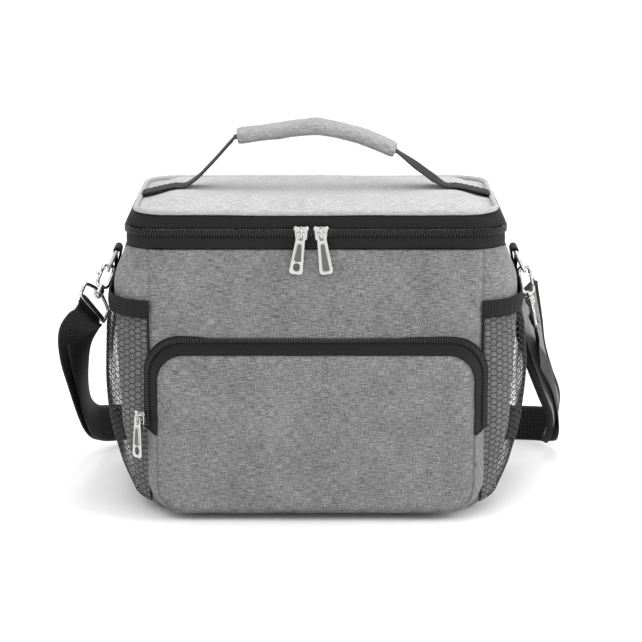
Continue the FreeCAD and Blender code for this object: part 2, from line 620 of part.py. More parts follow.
def strap_end(name, sign):
    """The loop of webbing round an eye's bar, and the first two stations of the webbing that leaves it."""
    place = eye_frame(name, hook_frame(name, sign))
    radius, length = mm("eye_wire") + 0.4, mm("strap_width")
    start = Vector(-length / 2, 0, -mm("eye_bar"))
    loop = Part.makeCylinder(radius + mm("strap_thick"), length, start, Vector(1, 0, 0))
    loop = loop.cut(Part.makeCylinder(radius, length, start, Vector(1, 0, 0)))
    loop.Placement = place
    stations = []
    for ahead in (0.6, 9):
        at = place.multVec(Vector(0, 0, -mm("eye_bar") - radius - ahead))
        stations.append((tuple(at), tuple(place.Rotation.multVec(Vector(1, 0, 0)))))
    return loop, stations


def shoulder_strap():
    """One length of webbing with its two end loops, and the padded sleeve that it runs under."""
    width, thick = mm("strap_width"), mm("strap_thick")
    left_loop, left_end = strap_end("left", -1)
    right_loop, right_end = strap_end("right", 1)
    main = ribbon(left_end + STRAP_ROUTE + right_end[::-1], width, thick)
    node("shoulder_strap", feature("strap", main.fuse([left_loop, right_loop])))
    node("strap_return", feature("doubled_end", ribbon(RETURN_ROUTE, width, thick)))
    pad_width, pad_thick = mm("pad_width"), mm("pad_thick")
    node("shoulder_pad", feature("pad", ribbon(PAD_ROUTE, pad_width, pad_thick)))
    edges = ribbon(PAD_ROUTE, pad_width + 4, pad_thick)
    node("pad_binding", feature("binding_strips", edges.cut(ribbon(PAD_ROUTE, pad_width + 0.6, pad_thick + 2))))


def adjuster():
    """A tri-glide on the strap's straight run behind the bag."""
    x, y, z = "adjuster_x", "140", "17.6"
    tall = "(strap_width / 2 + 0.6)"
    outside = box("glide_outside", (f"{x} - 12", f"{x} + 12"), (f"{y} - 3.6", f"{y} - 1.2"),
                  (f"{z} - {tall} - 1.9", f"{z} + {tall} + 1.9"))
    window = box("glide_window", (f"{x} - 9", f"{x} + 9"), (f"{y} - 5", f"{y} + 2"),
                 (f"{z} - {tall}", f"{z} + {tall}"))
    bar = box("glide_bar", (f"{x} - 1.5", f"{x} + 1.5"), (f"{y} - 3.6", f"{y} - 1.2"),
              (f"{z} - {tall} - 0.5", f"{z} + {tall} + 0.5"))
    rails = [box(f"glide_rail_{i}", (f"{x} - 12", f"{x} + 12"), (f"{y} - 2", f"{y} + 1.4"),
                 (low, high)) for i, (low, high) in enumerate(
                     ((f"{z} - {tall} - 1.9", f"{z} - {tall}"), (f"{z} + {tall}", f"{z} + {tall} + 1.9")))]
    node("strap_adjuster", fuse("glide", cut("glide_frame", outside, window), bar, *rails))


# ---------------------------------------------------------------- carry handle
# Distance from the middle and height above the handle's fold line, from each foot up to the crest.
RISERS = {
    "left": [(98.6, 0.6), (93, 6), (86, 13), (78, 21.5), (66, 34.8), (61, 38.2), (30, 43.5)],
    "right": [(98.6, 0.6), (93, 5), (86, 10), (78, 15.8), (66, 24.6), (61, 27.6), (30, 40.5)],
}
CREST = (0, 46)


def handle():
    """Flat webbing sewn to the lid, its free part, and the padded wrap round its middle."""
    width, thick, low = mm("handle_width"), mm("webbing"), mm("handle_hinge_z")
    across = (0.0, 1.0, 0.0)
    route = [(-x, up) for x, up in RISERS["left"]] + [CREST] + RISERS["right"][::-1]
    sections = []
    for i, (x, up) in enumerate(route):
        before, after = route[max(i - 1, 0)], route[min(i + 1, len(route) - 1)]
        turn = frame_of((after[0] - before[0], 0.0, after[1] - before[1]), across)
        half = min(width, up + 0.4) / 2
        corner = [turn.multVec(Vector(a * half, b * thick / 2, 0)) for a, b in ((1, 1), (-1, 1), (-1, -1), (1, -1))]
        points = [Vector(x, 0, low + up) + c for c in corner]
        sections.append(Part.makePolygon(points + points[:1]))
    node("handle_webbing", feature("free_webbing", Part.makeLoft(sections, True, True)))

    middle = [(x, up) for x, up in route if abs(x) <= 61]
    stations = [((x, 0.0, low + up), across) for x, up in middle]
    tunnel = ribbon(stations, width + 0.8, thick + 0.8)
    wrap = ribbon(stations, width + 4, 12.0)
    node("handle_grip", feature("wrap", wrap.cut(tunnel)))

    for name, sign in SIDES:
        foot = [(139.5, 238.5), (113.5, 244.8), (mm("handle_root_x"), 244.8)]
        outline = [Vector(sign * x, -width / 2, z) for x, z in foot]
        outline += [Vector(sign * x, -width / 2, z + thick) for x, z in reversed(foot)]
        face = Part.Face(Part.makePolygon(outline + outline[:1]))
        node(f"{name}_handle_foot", feature(f"{name}_foot", face.extrude(Vector(0, width, 0))))


# ---------------------------------------------------------------- build, check, write
def check(things):
    """Stops the build if any object failed, or if a piece is not made of sound solids."""
    failed = [o.Label for o in doc.Objects if "Invalid" in o.State or "Error" in o.State]
    if failed:
        raise RuntimeError(f"failed objects: {failed}")
    for name, thing in things.items():
        if thing.Shape.isNull() or not thing.Shape.isValid() or not thing.Shape.Solids:
            raise RuntimeError(f"{name} has no sound solid")


def main():
    shell()
    main_zip()
    lid()
    zip_sliders()
    front_pocket()
    mesh_pockets()
    for name, sign in SIDES:
        ring_and_tab(name, sign)
        snap_hook(name, sign)
    shoulder_strap()
    adjuster()
    handle()
    doc.recompute()
    check(nodes)
    os.makedirs("parts", exist_ok=True)
    for name, thing in nodes.items():
        thing.Shape.exportStep(os.path.join("parts", f"{name}.step"))
        print(f"{name}: {len(thing.Shape.Solids)} solid(s), {thing.Shape.Volume / 1000:.2f} cm3")


main()
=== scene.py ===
import math

import bpy
from mathutils import Matrix, Vector, noise


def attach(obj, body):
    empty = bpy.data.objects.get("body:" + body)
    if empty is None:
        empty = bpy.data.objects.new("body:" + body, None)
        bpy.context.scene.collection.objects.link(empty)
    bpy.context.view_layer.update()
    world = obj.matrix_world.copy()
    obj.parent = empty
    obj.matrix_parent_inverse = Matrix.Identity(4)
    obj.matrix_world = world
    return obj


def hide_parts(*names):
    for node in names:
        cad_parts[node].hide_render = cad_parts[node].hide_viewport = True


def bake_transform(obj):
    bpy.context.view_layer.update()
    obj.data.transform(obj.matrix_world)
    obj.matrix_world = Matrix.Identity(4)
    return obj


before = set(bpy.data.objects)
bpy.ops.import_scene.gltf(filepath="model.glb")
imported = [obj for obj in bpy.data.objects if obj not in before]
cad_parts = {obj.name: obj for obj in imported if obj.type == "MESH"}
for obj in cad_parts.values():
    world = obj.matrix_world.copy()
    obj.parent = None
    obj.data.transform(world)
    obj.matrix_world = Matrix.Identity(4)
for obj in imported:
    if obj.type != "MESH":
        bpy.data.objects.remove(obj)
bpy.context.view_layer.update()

# ------------------------------------------------------------------ sizes, in metres, as the CAD has them
LEVELS = [  # height, width, depth, corner radius of the bag's outline
    (0.000, 0.252, 0.146, 0.026),
    (0.012, 0.276, 0.170, 0.030),
    (0.064, 0.302, 0.170, 0.034),
    (0.127, 0.310, 0.170, 0.034),
    (0.185, 0.312, 0.170, 0.034),
    (0.210, 0.290, 0.170, 0.028),
    (0.240, 0.290, 0.170, 0.028),
]
SEAM_X = 0.127
SPLIT_Z = 0.2232
LID_Z = 0.2378
POCKET_SPLIT = 0.070
ROOT = "bag"


# ------------------------------------------------------------------ camera, light and floor
def make_camera():
    data = bpy.data.cameras.new("camera")
    data.lens = 132.7
    data.sensor_width = 36.0
    cam = bpy.data.objects.new("camera", data)
    bpy.context.scene.collection.objects.link(cam)
    cam.location = (0.004, -1.85, 0.546)
    cam.rotation_euler = (math.radians(90 - 12.5), 0, 0)
    bpy.context.scene.camera = cam


def area_light(name, location, target, size, energy, colour=(1, 1, 1)):
    data = bpy.data.lights.new(name, "AREA")
    data.shape = "RECTANGLE"
    data.size, data.size_y = size
    data.energy = energy
    data.color = colour
    light = bpy.data.objects.new(name, data)
    bpy.context.scene.collection.objects.link(light)
    light.location = location
    direction = Vector(target) - Vector(location)
    light.rotation_euler = direction.to_track_quat("-Z", "Y").to_euler()


def make_stage():
    mesh = bpy.data.meshes.new("floor")
    mesh.from_pydata([(-6, -5, 0), (6, -5, 0), (6, 8, 0), (-6, 8, 0)], [], [(0, 1, 2, 3)])
    floor = bpy.data.objects.new("floor", mesh)
    bpy.context.scene.collection.objects.link(floor)
    floor.data.materials.append(plain("floor_white", (0.93, 0.93, 0.93), 0.6))
    world = bpy.data.worlds.new("studio")
    world.use_nodes = True
    background = world.node_tree.nodes["Background"]
    background.inputs["Color"].default_value = (1, 1, 1, 1)
    background.inputs["Strength"].default_value = 1.08
    bpy.context.scene.world = world
    bpy.context.scene.view_settings.view_transform = "Standard"
    area_light("key", (-0.55, -1.35, 1.75), (0, 0, 0.12), (1.5, 1.1), 12)
    area_light("top", (0.1, 0.35, 1.9), (0, 0, 0.1), (1.6, 1.3), 15)
    area_light("fill", (1.6, -0.4, 0.8), (0, 0, 0.12), (1.0, 1.0), 14)


# ------------------------------------------------------------------ materials
def new_material(name):
    material = bpy.data.materials.new(name)
    material.use_nodes = True
    return material, material.node_tree, material.node_tree.nodes["Principled BSDF"]


def plain(name, colour, roughness, metallic=0.0):
    material, _, shader = new_material(name)
    shader.inputs["Base Color"].default_value = (*colour, 1)
    shader.inputs["Roughness"].default_value = roughness
    shader.inputs["Metallic"].default_value = metallic
    return material


class Nodes:
    """Short ways to add shader nodes to one material."""

    def __init__(self, tree):
        self.tree = tree

    def add(self, kind, **values):
        node = self.tree.nodes.new(kind)
        for key, value in values.items():
            setattr(node, key, value)
        return node

    def link(self, a, b):
        self.tree.links.new(a, b)

    def coords(self, use_uv, scale):
        source = self.add("ShaderNodeTexCoord")
        mapping = self.add("ShaderNodeMapping")
        mapping.inputs["Scale"].default_value = scale
        self.link(source.outputs["UV" if use_uv else "Object"], mapping.inputs["Vector"])
        return mapping.outputs["Vector"]

    def noise(self, vector, scale=1.0, detail=2.0, rough=0.5):
        texture = self.add("ShaderNodeTexNoise")
        texture.inputs["Scale"].default_value = scale
        texture.inputs["Detail"].default_value = detail
        texture.inputs["Roughness"].default_value = rough
        self.link(vector, texture.inputs["Vector"])
        return texture.outputs["Fac"]

    def wave(self, vector, direction, scale=1.0, distortion=0.0):
        texture = self.add("ShaderNodeTexWave", wave_type="BANDS", bands_direction=direction)
        texture.inputs["Scale"].default_value = scale
        texture.inputs["Distortion"].default_value = distortion
        self.link(vector, texture.inputs["Vector"])
        return texture.outputs["Fac"]

    def math(self, operation, a, b):
        node = self.add("ShaderNodeMath", operation=operation)
        for socket, value in zip(node.inputs, (a, b)):
            if isinstance(value, (int, float)):
                socket.default_value = value
            else:
                self.link(value, socket)
        return node.outputs[0]

    def ramp(self, factor, stops):
        node = self.add("ShaderNodeValToRGB")
        ramp = node.color_ramp
        while len(ramp.elements) < len(stops):
            ramp.elements.new(0.5)
        for element, (place, colour) in zip(ramp.elements, stops):
            element.position = place
            element.color = (*colour, 1) if isinstance(colour, tuple) else (colour, colour, colour, 1)
        self.link(factor, node.inputs["Fac"])
        return node.outputs["Color"]

    def bump(self, height, strength, distance):
        node = self.add("ShaderNodeBump")
        node.inputs["Strength"].default_value = strength
        node.inputs["Distance"].default_value = distance
        self.link(height, node.inputs["Height"])
        return node.outputs["Normal"]


def heather(name, use_uv=True, dark=0.035, light=0.31, third=1500.0):
    """Melange polyester: threads of mixed greys that run both ways over a fine plain weave."""
    material, tree, shader = new_material(name)
    n = Nodes(tree)
    z = 300.0 if use_uv else third
    across = n.noise(n.coords(use_uv, (140.0, 1500.0, z)), 1.0, 3.0, 0.65)
    along = n.noise(n.coords(use_uv, (1500.0, 190.0, z)), 1.0, 3.0, 0.65)
    speck = n.noise(n.coords(use_uv, (1100.0, 1100.0, z)), 1.0, 1.0, 0.5)
    cloud = n.noise(n.coords(use_uv, (30.0, 30.0, 30.0)), 1.0, 2.0, 0.5)
    mix = n.math("ADD", n.math("MULTIPLY", across, 0.45), n.math("MULTIPLY", along, 0.30))
    mix = n.math("ADD", mix, n.math("MULTIPLY", speck, 0.17))
    mix = n.math("ADD", mix, n.math("MULTIPLY", cloud, 0.08))
    middle = (dark + light) / 2
    colour = n.ramp(mix, [(0.38, dark), (0.50, middle * 0.88), (0.62, light)])
    n.link(colour, shader.inputs["Base Color"])
    threads = n.math("ADD", n.wave(n.coords(use_uv, (420.0, 1.0, 1.0)), "X", 1.0, 0.6),
                     n.wave(n.coords(use_uv, (1.0, 420.0, 1.0 if use_uv else 420.0)), "Y", 1.0, 0.6))
    height = n.math("ADD", n.math("MULTIPLY", threads, 0.4), n.math("MULTIPLY", mix, 1.2))
    n.link(n.bump(height, 0.35, 0.0006), shader.inputs["Normal"])
    shader.inputs["Roughness"].default_value = 0.88
    shader.inputs["Sheen Weight"].default_value = 0.05
    return material


def webbing(name, colour=0.0055, use_uv=True, rib=620.0, rough=0.62):
    """Woven band: ribs across its length, broken into short floats."""
    material, tree, shader = new_material(name)
    n = Nodes(tree)
    rows = n.wave(n.coords(use_uv, (rib, rib * 0.18, rib * 0.18)), "X", 0.16, 0.4)
    floats = n.wave(n.coords(use_uv, (rib * 0.1, rib, rib)), "Y", 0.16, 0.3)
    height = n.math("ADD", rows, n.math("MULTIPLY", floats, 0.7))
    fuzz = n.noise(n.coords(use_uv, (900.0, 900.0, 900.0)), 1.0, 2.0, 0.6)
    shade = n.math("ADD", n.math("MULTIPLY", height, 0.35), n.math("MULTIPLY", fuzz, 0.5))
    n.link(n.ramp(shade, [(0.2, colour * 0.5), (0.9, colour * 2.3)]), shader.inputs["Base Color"])
    n.link(n.bump(height, 0.5, 0.0006), shader.inputs["Normal"])
    shader.inputs["Roughness"].default_value = rough
    shader.inputs["Specular IOR Level"].default_value = 0.22
    return material


def metal(name, colour=0.52, rough=0.16):
    material, tree, shader = new_material(name)
    n = Nodes(tree)
    wear = n.noise(n.coords(False, (260.0, 260.0, 260.0)), 1.0, 3.0, 0.6)
    shader.inputs["Base Color"].default_value = (colour, colour, colour * 0.985, 1)
    shader.inputs["Metallic"].default_value = 1.0
    n.link(n.ramp(wear, [(0.3, rough * 0.7), (0.8, rough * 1.7)]), shader.inputs["Roughness"])
    n.link(n.bump(wear, 0.05, 0.0004), shader.inputs["Normal"])
    return material


def foil(name):
    material, tree, shader = new_material(name)
    n = Nodes(tree)
    crease = n.noise(n.coords(False, (55.0, 55.0, 55.0)), 1.0, 5.0, 0.6)
    n.link(n.ramp(crease, [(0.3, 0.52), (0.7, 0.72)]), shader.inputs["Base Color"])
    n.link(n.bump(crease, 0.5, 0.004), shader.inputs["Normal"])
    shader.inputs["Metallic"].default_value = 0.55
    shader.inputs["Roughness"].default_value = 0.34
    return material


def grainy(name, colour, rough, scale=700.0, strength=0.3):
    material, tree, shader = new_material(name)
    n = Nodes(tree)
    grain = n.noise(n.coords(False, (scale, scale, scale)), 1.0, 2.0, 0.5)
    low = tuple(c * 0.8 for c in colour)
    high = tuple(min(1.0, c * 1.2) for c in colour)
    n.link(n.ramp(grain, [(0.3, low), (0.7, high)]), shader.inputs["Base Color"])
    n.link(n.bump(grain, strength, 0.0005), shader.inputs["Normal"])
    shader.inputs["Roughness"].default_value = rough
    return material


MATERIALS = {
    "cloth": heather("heather_cloth"),
    # lid cloth: the body's melange painted lighter, a painted top light for the light falling on the lid
    # from above
    "cloth_lid_painted_toplight": heather("heather_lid_painted_toplight", light=0.62, dark=0.24),
    # grip cloth: the same melange painted lighter as well, a painted top light for the light falling on it
    # from above
    "cloth_grip_painted_toplight": heather("heather_grip_painted_toplight", light=0.47, dark=0.14),
    "cloth_cad": heather("heather_solid", use_uv=False),
    "webbing": webbing("black_webbing"),
    "tape": webbing("black_tape", colour=0.0065, rib=1100.0, rough=0.75),
    "tape_cad": webbing("black_tape_solid", colour=0.0065, use_uv=False, rib=1100.0, rough=0.75),
    "coil": plain("coil_nylon", (0.012, 0.012, 0.013), 0.32),
    "net": grainy("net_thread", (0.016, 0.016, 0.017), 0.55),
    "metal": metal("nickel_plate"),
    "metal_dark": metal("nickel_recess", colour=0.13, rough=0.30),
    "foil": foil("foil_lining"),
    "foam": grainy("foam_core", (0.80, 0.80, 0.78), 0.95, 400.0, 0.5),
    "board": grainy("board_plastic", (0.05, 0.05, 0.05), 0.5),
    "plastic": grainy("moulded_black", (0.014, 0.014, 0.015), 0.42),
    "piping": heather("piping_cloth", dark=0.24, light=0.58),
    "thread": grainy("sewing_thread", (0.22, 0.22, 0.22), 0.8, 900.0, 0.2),
    "dark_thread": grainy("dark_thread", (0.02, 0.02, 0.02), 0.7, 900.0, 0.2),
}


# ------------------------------------------------------------------ mesh helpers
def wobble(x, y, z, scale, seed=0.0):
    return noise.noise(Vector((x * scale + seed, y * scale - seed, z * scale + 0.37 * seed)))


def add_object(name, verts, faces, material, body, uvs=None, smooth=True, replaces=(), ride=True):
    mesh = bpy.data.meshes.new(name)
    mesh.from_pydata([tuple(v) for v in verts], [], faces)
    if uvs is not None:
        layer = mesh.uv_layers.new(name="UVMap")
        for polygon in mesh.polygons:
            for loop in polygon.loop_indices:
                layer.data[loop].uv = uvs[mesh.loops[loop].vertex_index]
    mesh.validate()
    mesh.update()
    for polygon in mesh.polygons:
        polygon.use_smooth = smooth
    thing = bpy.data.objects.new(name, mesh)
    bpy.context.scene.collection.objects.link(thing)
    thing.data.materials.append(MATERIALS[material])
    if ride:
        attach(thing, body)
    if replaces:
        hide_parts(*replaces)
    return thing


class Build:
    """Collects vertices, faces and UVs of one object."""

    def __init__(self):
        self.verts, self.faces, self.uvs = [], [], []

    def grid(self, rows, uvs, close=False, flip=False):
        """rows: lists of points of one length. close joins each row's last point to its first."""
        base = len(self.verts)
        count = len(rows[0])
        for row, uv in zip(rows, uvs):
            self.verts.extend(row)
            self.uvs.extend(uv)
        for i in range(len(rows) - 1):
            for j in range(count if close else count - 1):
                k = (j + 1) % count
                face = (base + i * count + j, base + i * count + k, base + (i + 1) * count + k,
                        base + (i + 1) * count + j)
                self.faces.append(face[::-1] if flip else face)
        return base

    def cap(self, start, count, flip=False):
        face = tuple(range(start, start + count))
        self.faces.append(face[::-1] if flip else face)

    def stack(self, base, levels, caps=True):
        """Joins rings of four vertices, one above the other, into a small bar."""
        for low in range(base, base + 4 * (levels - 1), 4):
            for j in range(4):
                k = (j + 1) % 4
                self.faces.append((low + j, low + k, low + 4 + k, low + 4 + j))
        if caps:
            top = base + 4 * (levels - 1)
            self.faces.append((base + 3, base + 2, base + 1, base))
            self.faces.append((top, top + 1, top + 2, top + 3))

    def object(self, name, material, body, **kw):
        return add_object(name, self.verts, self.faces, material, body, uvs=self.uvs, **kw)


def thicken(thing, depth, offset=-1.0):
    modifier = thing.modifiers.new("thickness", "SOLIDIFY")
    modifier.thickness = depth
    modifier.offset = offset
    bake(thing)
    return thing


def bevel(thing, width, segments=2, angle=30):
    modifier = thing.modifiers.new("bevel", "BEVEL")
    modifier.width = width
    modifier.segments = segments
    modifier.limit_method = "ANGLE"
    modifier.angle_limit = math.radians(angle)
    bake(thing)
    return thing


def bake(thing):
    """Applies the object's modifiers to its mesh."""
    depsgraph = bpy.context.evaluated_depsgraph_get()
    mesh = bpy.data.meshes.new_from_object(thing.evaluated_get(depsgraph))
    thing.modifiers.clear()
    thing.data = mesh


def catmull(points, steps):
    """Points on a smooth curve through the given ones; each may have any number of coordinates."""
    out = []
    last = len(points) - 1
    for i in range(last):
        p0, p1, p2, p3 = points[max(i - 1, 0)], points[i], points[i + 1], points[min(i + 2, last)]
        for k in range(steps):
            t = k / steps
            out.append([0.5 * (2 * b + (c - a) * t + (2 * a - 5 * b + 4 * c - d) * t * t
                               + (3 * b - a - 3 * c + d) * t ** 3) for a, b, c, d in zip(p0, p1, p2, p3)])
    out.append(list(points[-1]))
    return out


def tube(name, path, radius, material, body, sides=10, closed=False, taper=None, **kw):
    """A round tube along a list of points."""
    build = Build()
    path = [Vector(p) for p in path]
    count = len(path)
    rows, uvs = [], []
    normal = None
    run = 0.0
    for i, point in enumerate(path):
        ahead = path[(i + 1) % count] if closed or i + 1 < count else point
        behind = path[i - 1] if closed or i else point
        tangent = (ahead - behind).normalized()
        if normal is None:
            normal = tangent.orthogonal().normalized()
        normal = (normal - tangent * normal.dot(tangent)).normalized()
        side = tangent.cross(normal)
        r = radius if taper is None else radius * taper(i / max(1, count - 1))
        if i:
            run += (point - path[i - 1]).length
        rows.append([point + (normal * math.cos(a) + side * math.sin(a)) * r
                     for a in (math.tau * k / sides for k in range(sides))])
        uvs.append([(run, k / sides * math.tau * radius) for k in range(sides)])
    if closed:
        rows.append(rows[0])
        uvs.append(uvs[0])
    build.grid(rows, uvs, close=True)
    if not closed:
        build.cap(0, sides, flip=True)
        build.cap((count - 1) * sides, sides)
    return build.object(name, material, body, **kw)


def ribbon(name, stations, width, thick, material, body, steps=8, fill=0.0, **kw):
    """A band along (x, y, z, sx, sy, sz[, width factor]) stations, with rounded edges.
    fill bulges both faces for a padded band."""
    build = Build()
    smooth = catmull([list(s) for s in stations], steps)
    middles = [Vector(s[:3]) for s in smooth]
    count = len(middles)
    profile = band_profile(thick, fill, 12)
    rows, uvs = [], []
    run = 0.0
    for i, station in enumerate(smooth):
        tangent = (middles[min(i + 1, count - 1)] - middles[max(i - 1, 0)]).normalized()
        across = Vector(station[3:6])
        across = (across - tangent * across.dot(tangent)).normalized()
        out = tangent.cross(across)
        if i:
            run += (middles[i] - middles[i - 1]).length
        wide = width * (station[6] if len(station) > 6 else 1.0)
        round_end = 1.0
        if fill:
            near = min(i, count - 1 - i) / (count - 1)
            round_end = min(1.0, 0.25 + near * 14)
        rows.append([middles[i] + across * (a * wide / 2) + out * (b * round_end) for a, b in profile])
        uvs.append([(run, a * wide / 2) for a, b in profile])
    build.grid(rows, uvs, close=True)
    build.cap(0, len(profile), flip=True)
    build.cap((count - 1) * len(profile), len(profile))
    return build.object(name, material, body, **kw)


def band_profile(thick, fill, half_count):
    """A closed loop of (across -1..1, out in metres): a flat band with rounded edges."""
    top, bottom = [], []
    for k in range(half_count + 1):
        a = -1 + 2 * k / half_count
        near = 1 - abs(a)
        rise = thick / 2 * min(1.0, math.sqrt(max(0.0, near) / 0.06 + 0.05)) if near < 0.06 else thick / 2
        rise += fill * (1 - a * a)
        top.append((a, rise))
        bottom.append((a, -rise))
    return top + bottom[::-1]


# ------------------------------------------------------------------ the bag's outline
def sizes_at(z):
    """Width, depth and radius at a height, smoothed between the CAD's levels."""
    total = [0.0, 0.0, 0.0]
    reach = 0.007 if z > 0.02 else 0.0025
    for shift in (-1, -0.5, 0, 0.5, 1):
        at = min(max(z + shift * reach, 0.0), 0.2399)
        for low, high in zip(LEVELS, LEVELS[1:]):
            if low[0] <= at <= high[0]:
                t = (at - low[0]) / (high[0] - low[0])
                for k in range(3):
                    total[k] += (low[k + 1] + (high[k + 1] - low[k + 1]) * t) / 5
                break
    return total


def outline(z, s, grow=0.0, size=None):
    """A point on the outline at arc length s from the front's middle, with its outward direction."""
    width, depth, radius = size or sizes_at(z)
    a, b = width / 2 - radius, depth / 2 - radius
    arc = radius * math.pi / 2
    quarter = a + arc + b
    s = (s + 2 * quarter) % (4 * quarter) - 2 * quarter
    side = 1 if s >= 0 else -1
    s = abs(s)
    back = s > quarter
    if back:
        s = 2 * quarter - s
    if s <= a:
        x, y, nx, ny = s, -depth / 2, 0.0, -1.0
    elif s <= a + arc:
        angle = (s - a) / radius
        nx, ny = math.sin(angle), -math.cos(angle)
        x, y = a + radius * nx, -b + radius * ny
    else:
        x, y, nx, ny = width / 2, -b + (s - a - arc), 1.0, 0.0
    if back:
        y, ny = -y, -ny
    return Vector((side * (x + nx * grow), y + ny * grow, z)), Vector((side * nx, ny, 0.0))


def quarter_length(z, size=None):
    width, depth, radius = size or sizes_at(z)
    return width / 2 - radius + radius * math.pi / 2 + depth / 2 - radius


def seam_length(z, seam=SEAM_X):
    """Arc length from the front's middle to the seam."""
    width, depth, radius = sizes_at(z)
    a = width / 2 - radius
    if seam <= a:
        return seam
    return a + radius * math.asin(min(0.98, (seam - a) / radius))


def panel_span(panel, z):
    seam, quarter = seam_length(z), quarter_length(z)
    return {"front": (-seam, seam), "right": (seam, 2 * quarter - seam),
            "back": (2 * quarter - seam, 2 * quarter + seam),
            "left": (2 * quarter + seam, 4 * quarter - seam)}[panel]


def softness(point, panel, u, z):
    """How far the cloth stands off the CAD surface: slack, puckers under the zip, and dimpled seams."""
    x, y = point.x, point.y
    slack = 0.0008 + 0.0017 * wobble(x, y, z, 17, 3.1) + 0.0006 * wobble(x, y, z, 55, 7.7)
    near_top = max(0.0, 1 - (0.210 - z) / 0.030)
    along = x if panel in ("front", "back") else y
    beat = math.sin(along * 560 + 5 * wobble(along, 0.2, 0, 30, 2.0))
    pucker = 0.0019 * near_top ** 1.5 * (0.5 + 0.5 * beat) * (0.45 + 0.9 * abs(wobble(along, 0, 0, 45, 6.0)))
    long_fold = 0.0009 * max(0.0, wobble(along, z * 0.35, 0, 34, 11.0)) * (1 - near_top)
    to_seam = min(u, 1 - u)
    edge = min(1.0, to_seam / 0.018)
    full = 0.0026 if panel in ("front", "back") else 0.0
    bulge = full * math.sin(math.pi * min(1, max(0, (z - 0.03) / 0.18))) * math.sin(math.pi * u)
    puff = slack + pucker + long_fold + bulge
    if full == 0.0:
        puff = 0.4 * puff - 0.0004
    return max(-0.0002, puff) * edge + 0.0003


def body_panels():
    cad = {"front": "front_panel", "back": "back_panel",
           "left": "left_side_panel", "right": "right_side_panel"}
    heights = [0.0121 + (0.2098 - 0.0121) * i / 72 for i in range(73)]
    for panel, node in cad.items():
        wide = 0.254 if panel in ("front", "back") else 0.19
        count = 96 if panel in ("front", "back") else 72
        build, rows, uvs = Build(), [], []
        for z in heights:
            low, high = panel_span(panel, z)
            row, uv = [], []
            for k in range(count + 1):
                u = k / count
                point, normal = outline(z, low + (high - low) * u)
                row.append(point + normal * softness(point, panel, u, z))
                uv.append((u * wide + len(panel) * 0.37, z))
            rows.append(row)
            uvs.append(uv)
        build.grid(rows, uvs)
        thing = build.object(f"cloth_{panel}", "cloth", ROOT, replaces=(node,))
        thicken(thing, 0.0011)
    base_panel()


def base_panel():
    """The tray: a soft rounded edge and a flat underside."""
    build, rows, uvs = Build(), [], []
    count = 220
    bottom = [(0.0119, 0.0004), (0.0095, 0.0004), (0.0070, 0.0003), (0.0048, 0.0002), (0.0028, 0.0),
              (0.0012, -0.0005), (0.0003, -0.0018)]
    for z, grow in bottom:
        quarter = quarter_length(z)
        row = [outline(z, 4 * quarter * k / count, grow)[0] for k in range(count)]
        rows.append(row)
        uvs.append([(4 * 0.21 * k / count, z) for k in range(count)])
    width, depth, radius = sizes_at(0.0)
    for shrink in (0.006, 0.02, 0.045, 0.07):
        size = (width - 2 * shrink, depth - 2 * shrink, max(0.002, radius - shrink * 0.3))
        quarter = quarter_length(0.0, size)
        rows.append([outline(0.0001, 4 * quarter * k / count, 0.0, size)[0] for k in range(count)])
        uvs.append([(p.x, p.y) for p in rows[-1]])
    build.grid(rows, uvs, close=True, flip=True)
    build.cap((len(rows) - 1) * count, count, flip=True)
    build.object("cloth_base", "cloth", ROOT, replaces=("base_panel",))


def seam_cords():
    """A narrow welt in each of the four upright seams."""
    for panel, side in (("front", -1), ("front", 1), ("back", -1), ("back", 1)):
        path = []
        for i in range(60):
            z = 0.013 + 0.1965 * i / 59
            low, high = panel_span(panel, z)
            point, normal = outline(z, high if side > 0 else low, -0.0002)
            path.append(point)
        tube(f"seam_{panel}_{'right' if side > 0 else 'left'}", path, 0.0007, "cloth", ROOT, sides=6)


# ------------------------------------------------------------------ zip: tapes and coils
RIM = (0.290, 0.170, 0.028)
LID_TOP = (0.2766, 0.1680, 0.027)
BAND_BACK = 0.0548


def rim_reach():
    """Arc length from the front's middle round a front corner to where the zip ends."""
    width, depth, radius = RIM
    return width / 2 - radius + radius * math.pi / 2 + (BAND_BACK + depth / 2 - radius)


def between(first, last, t):
    return tuple(a + (b - a) * t for a, b in zip(first, last))


def tape_band(name, low, high, node, body, back=False, lift=0.0002, top=RIM, run=None):
    reach, quarter = rim_reach(), quarter_length(0, RIM)
    start, end = (-reach, reach) if not back else (reach + 0.0002, 4 * quarter - reach - 0.0002)
    if run:
        start, end = 2 * quarter - run, 2 * quarter + run
    build, rows, uvs = Build(), [], []
    steps = 260
    for i in range(9):
        t = i / 8
        z = low + (high - low) * t
        row, uv = [], []
        for k in range(steps + 1):
            s = start + (end - start) * k / steps
            wave = 0.0004 * wobble(s, t, 0, 30, 5.0) if not back else 0.0004 * wobble(s, t, 0, 25, 9.0)
            size = between(RIM, top, t * t)
            s = s * quarter_length(0, size) / quarter
            point, _ = outline(z, s, lift + wave + 0.0005 * math.sin(math.pi * t), size)
            row.append(point)
            uv.append((s, z))
        rows.append(row)
        uvs.append(uv)
    build.grid(rows, uvs)
    thing = build.object(name, "cloth" if back else "tape", body, ride=body is not None,
                         replaces=(node,) if node else ())
    return thicken(thing, 0.001)


def hinge_fold():
    """The cloth between the two back strips, at the lid's hinge."""
    fold = tape_band("hinge_fold", 0.2218, 0.2247, None, None, back=True, lift=-0.0006, run=0.116)
    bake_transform(fold)


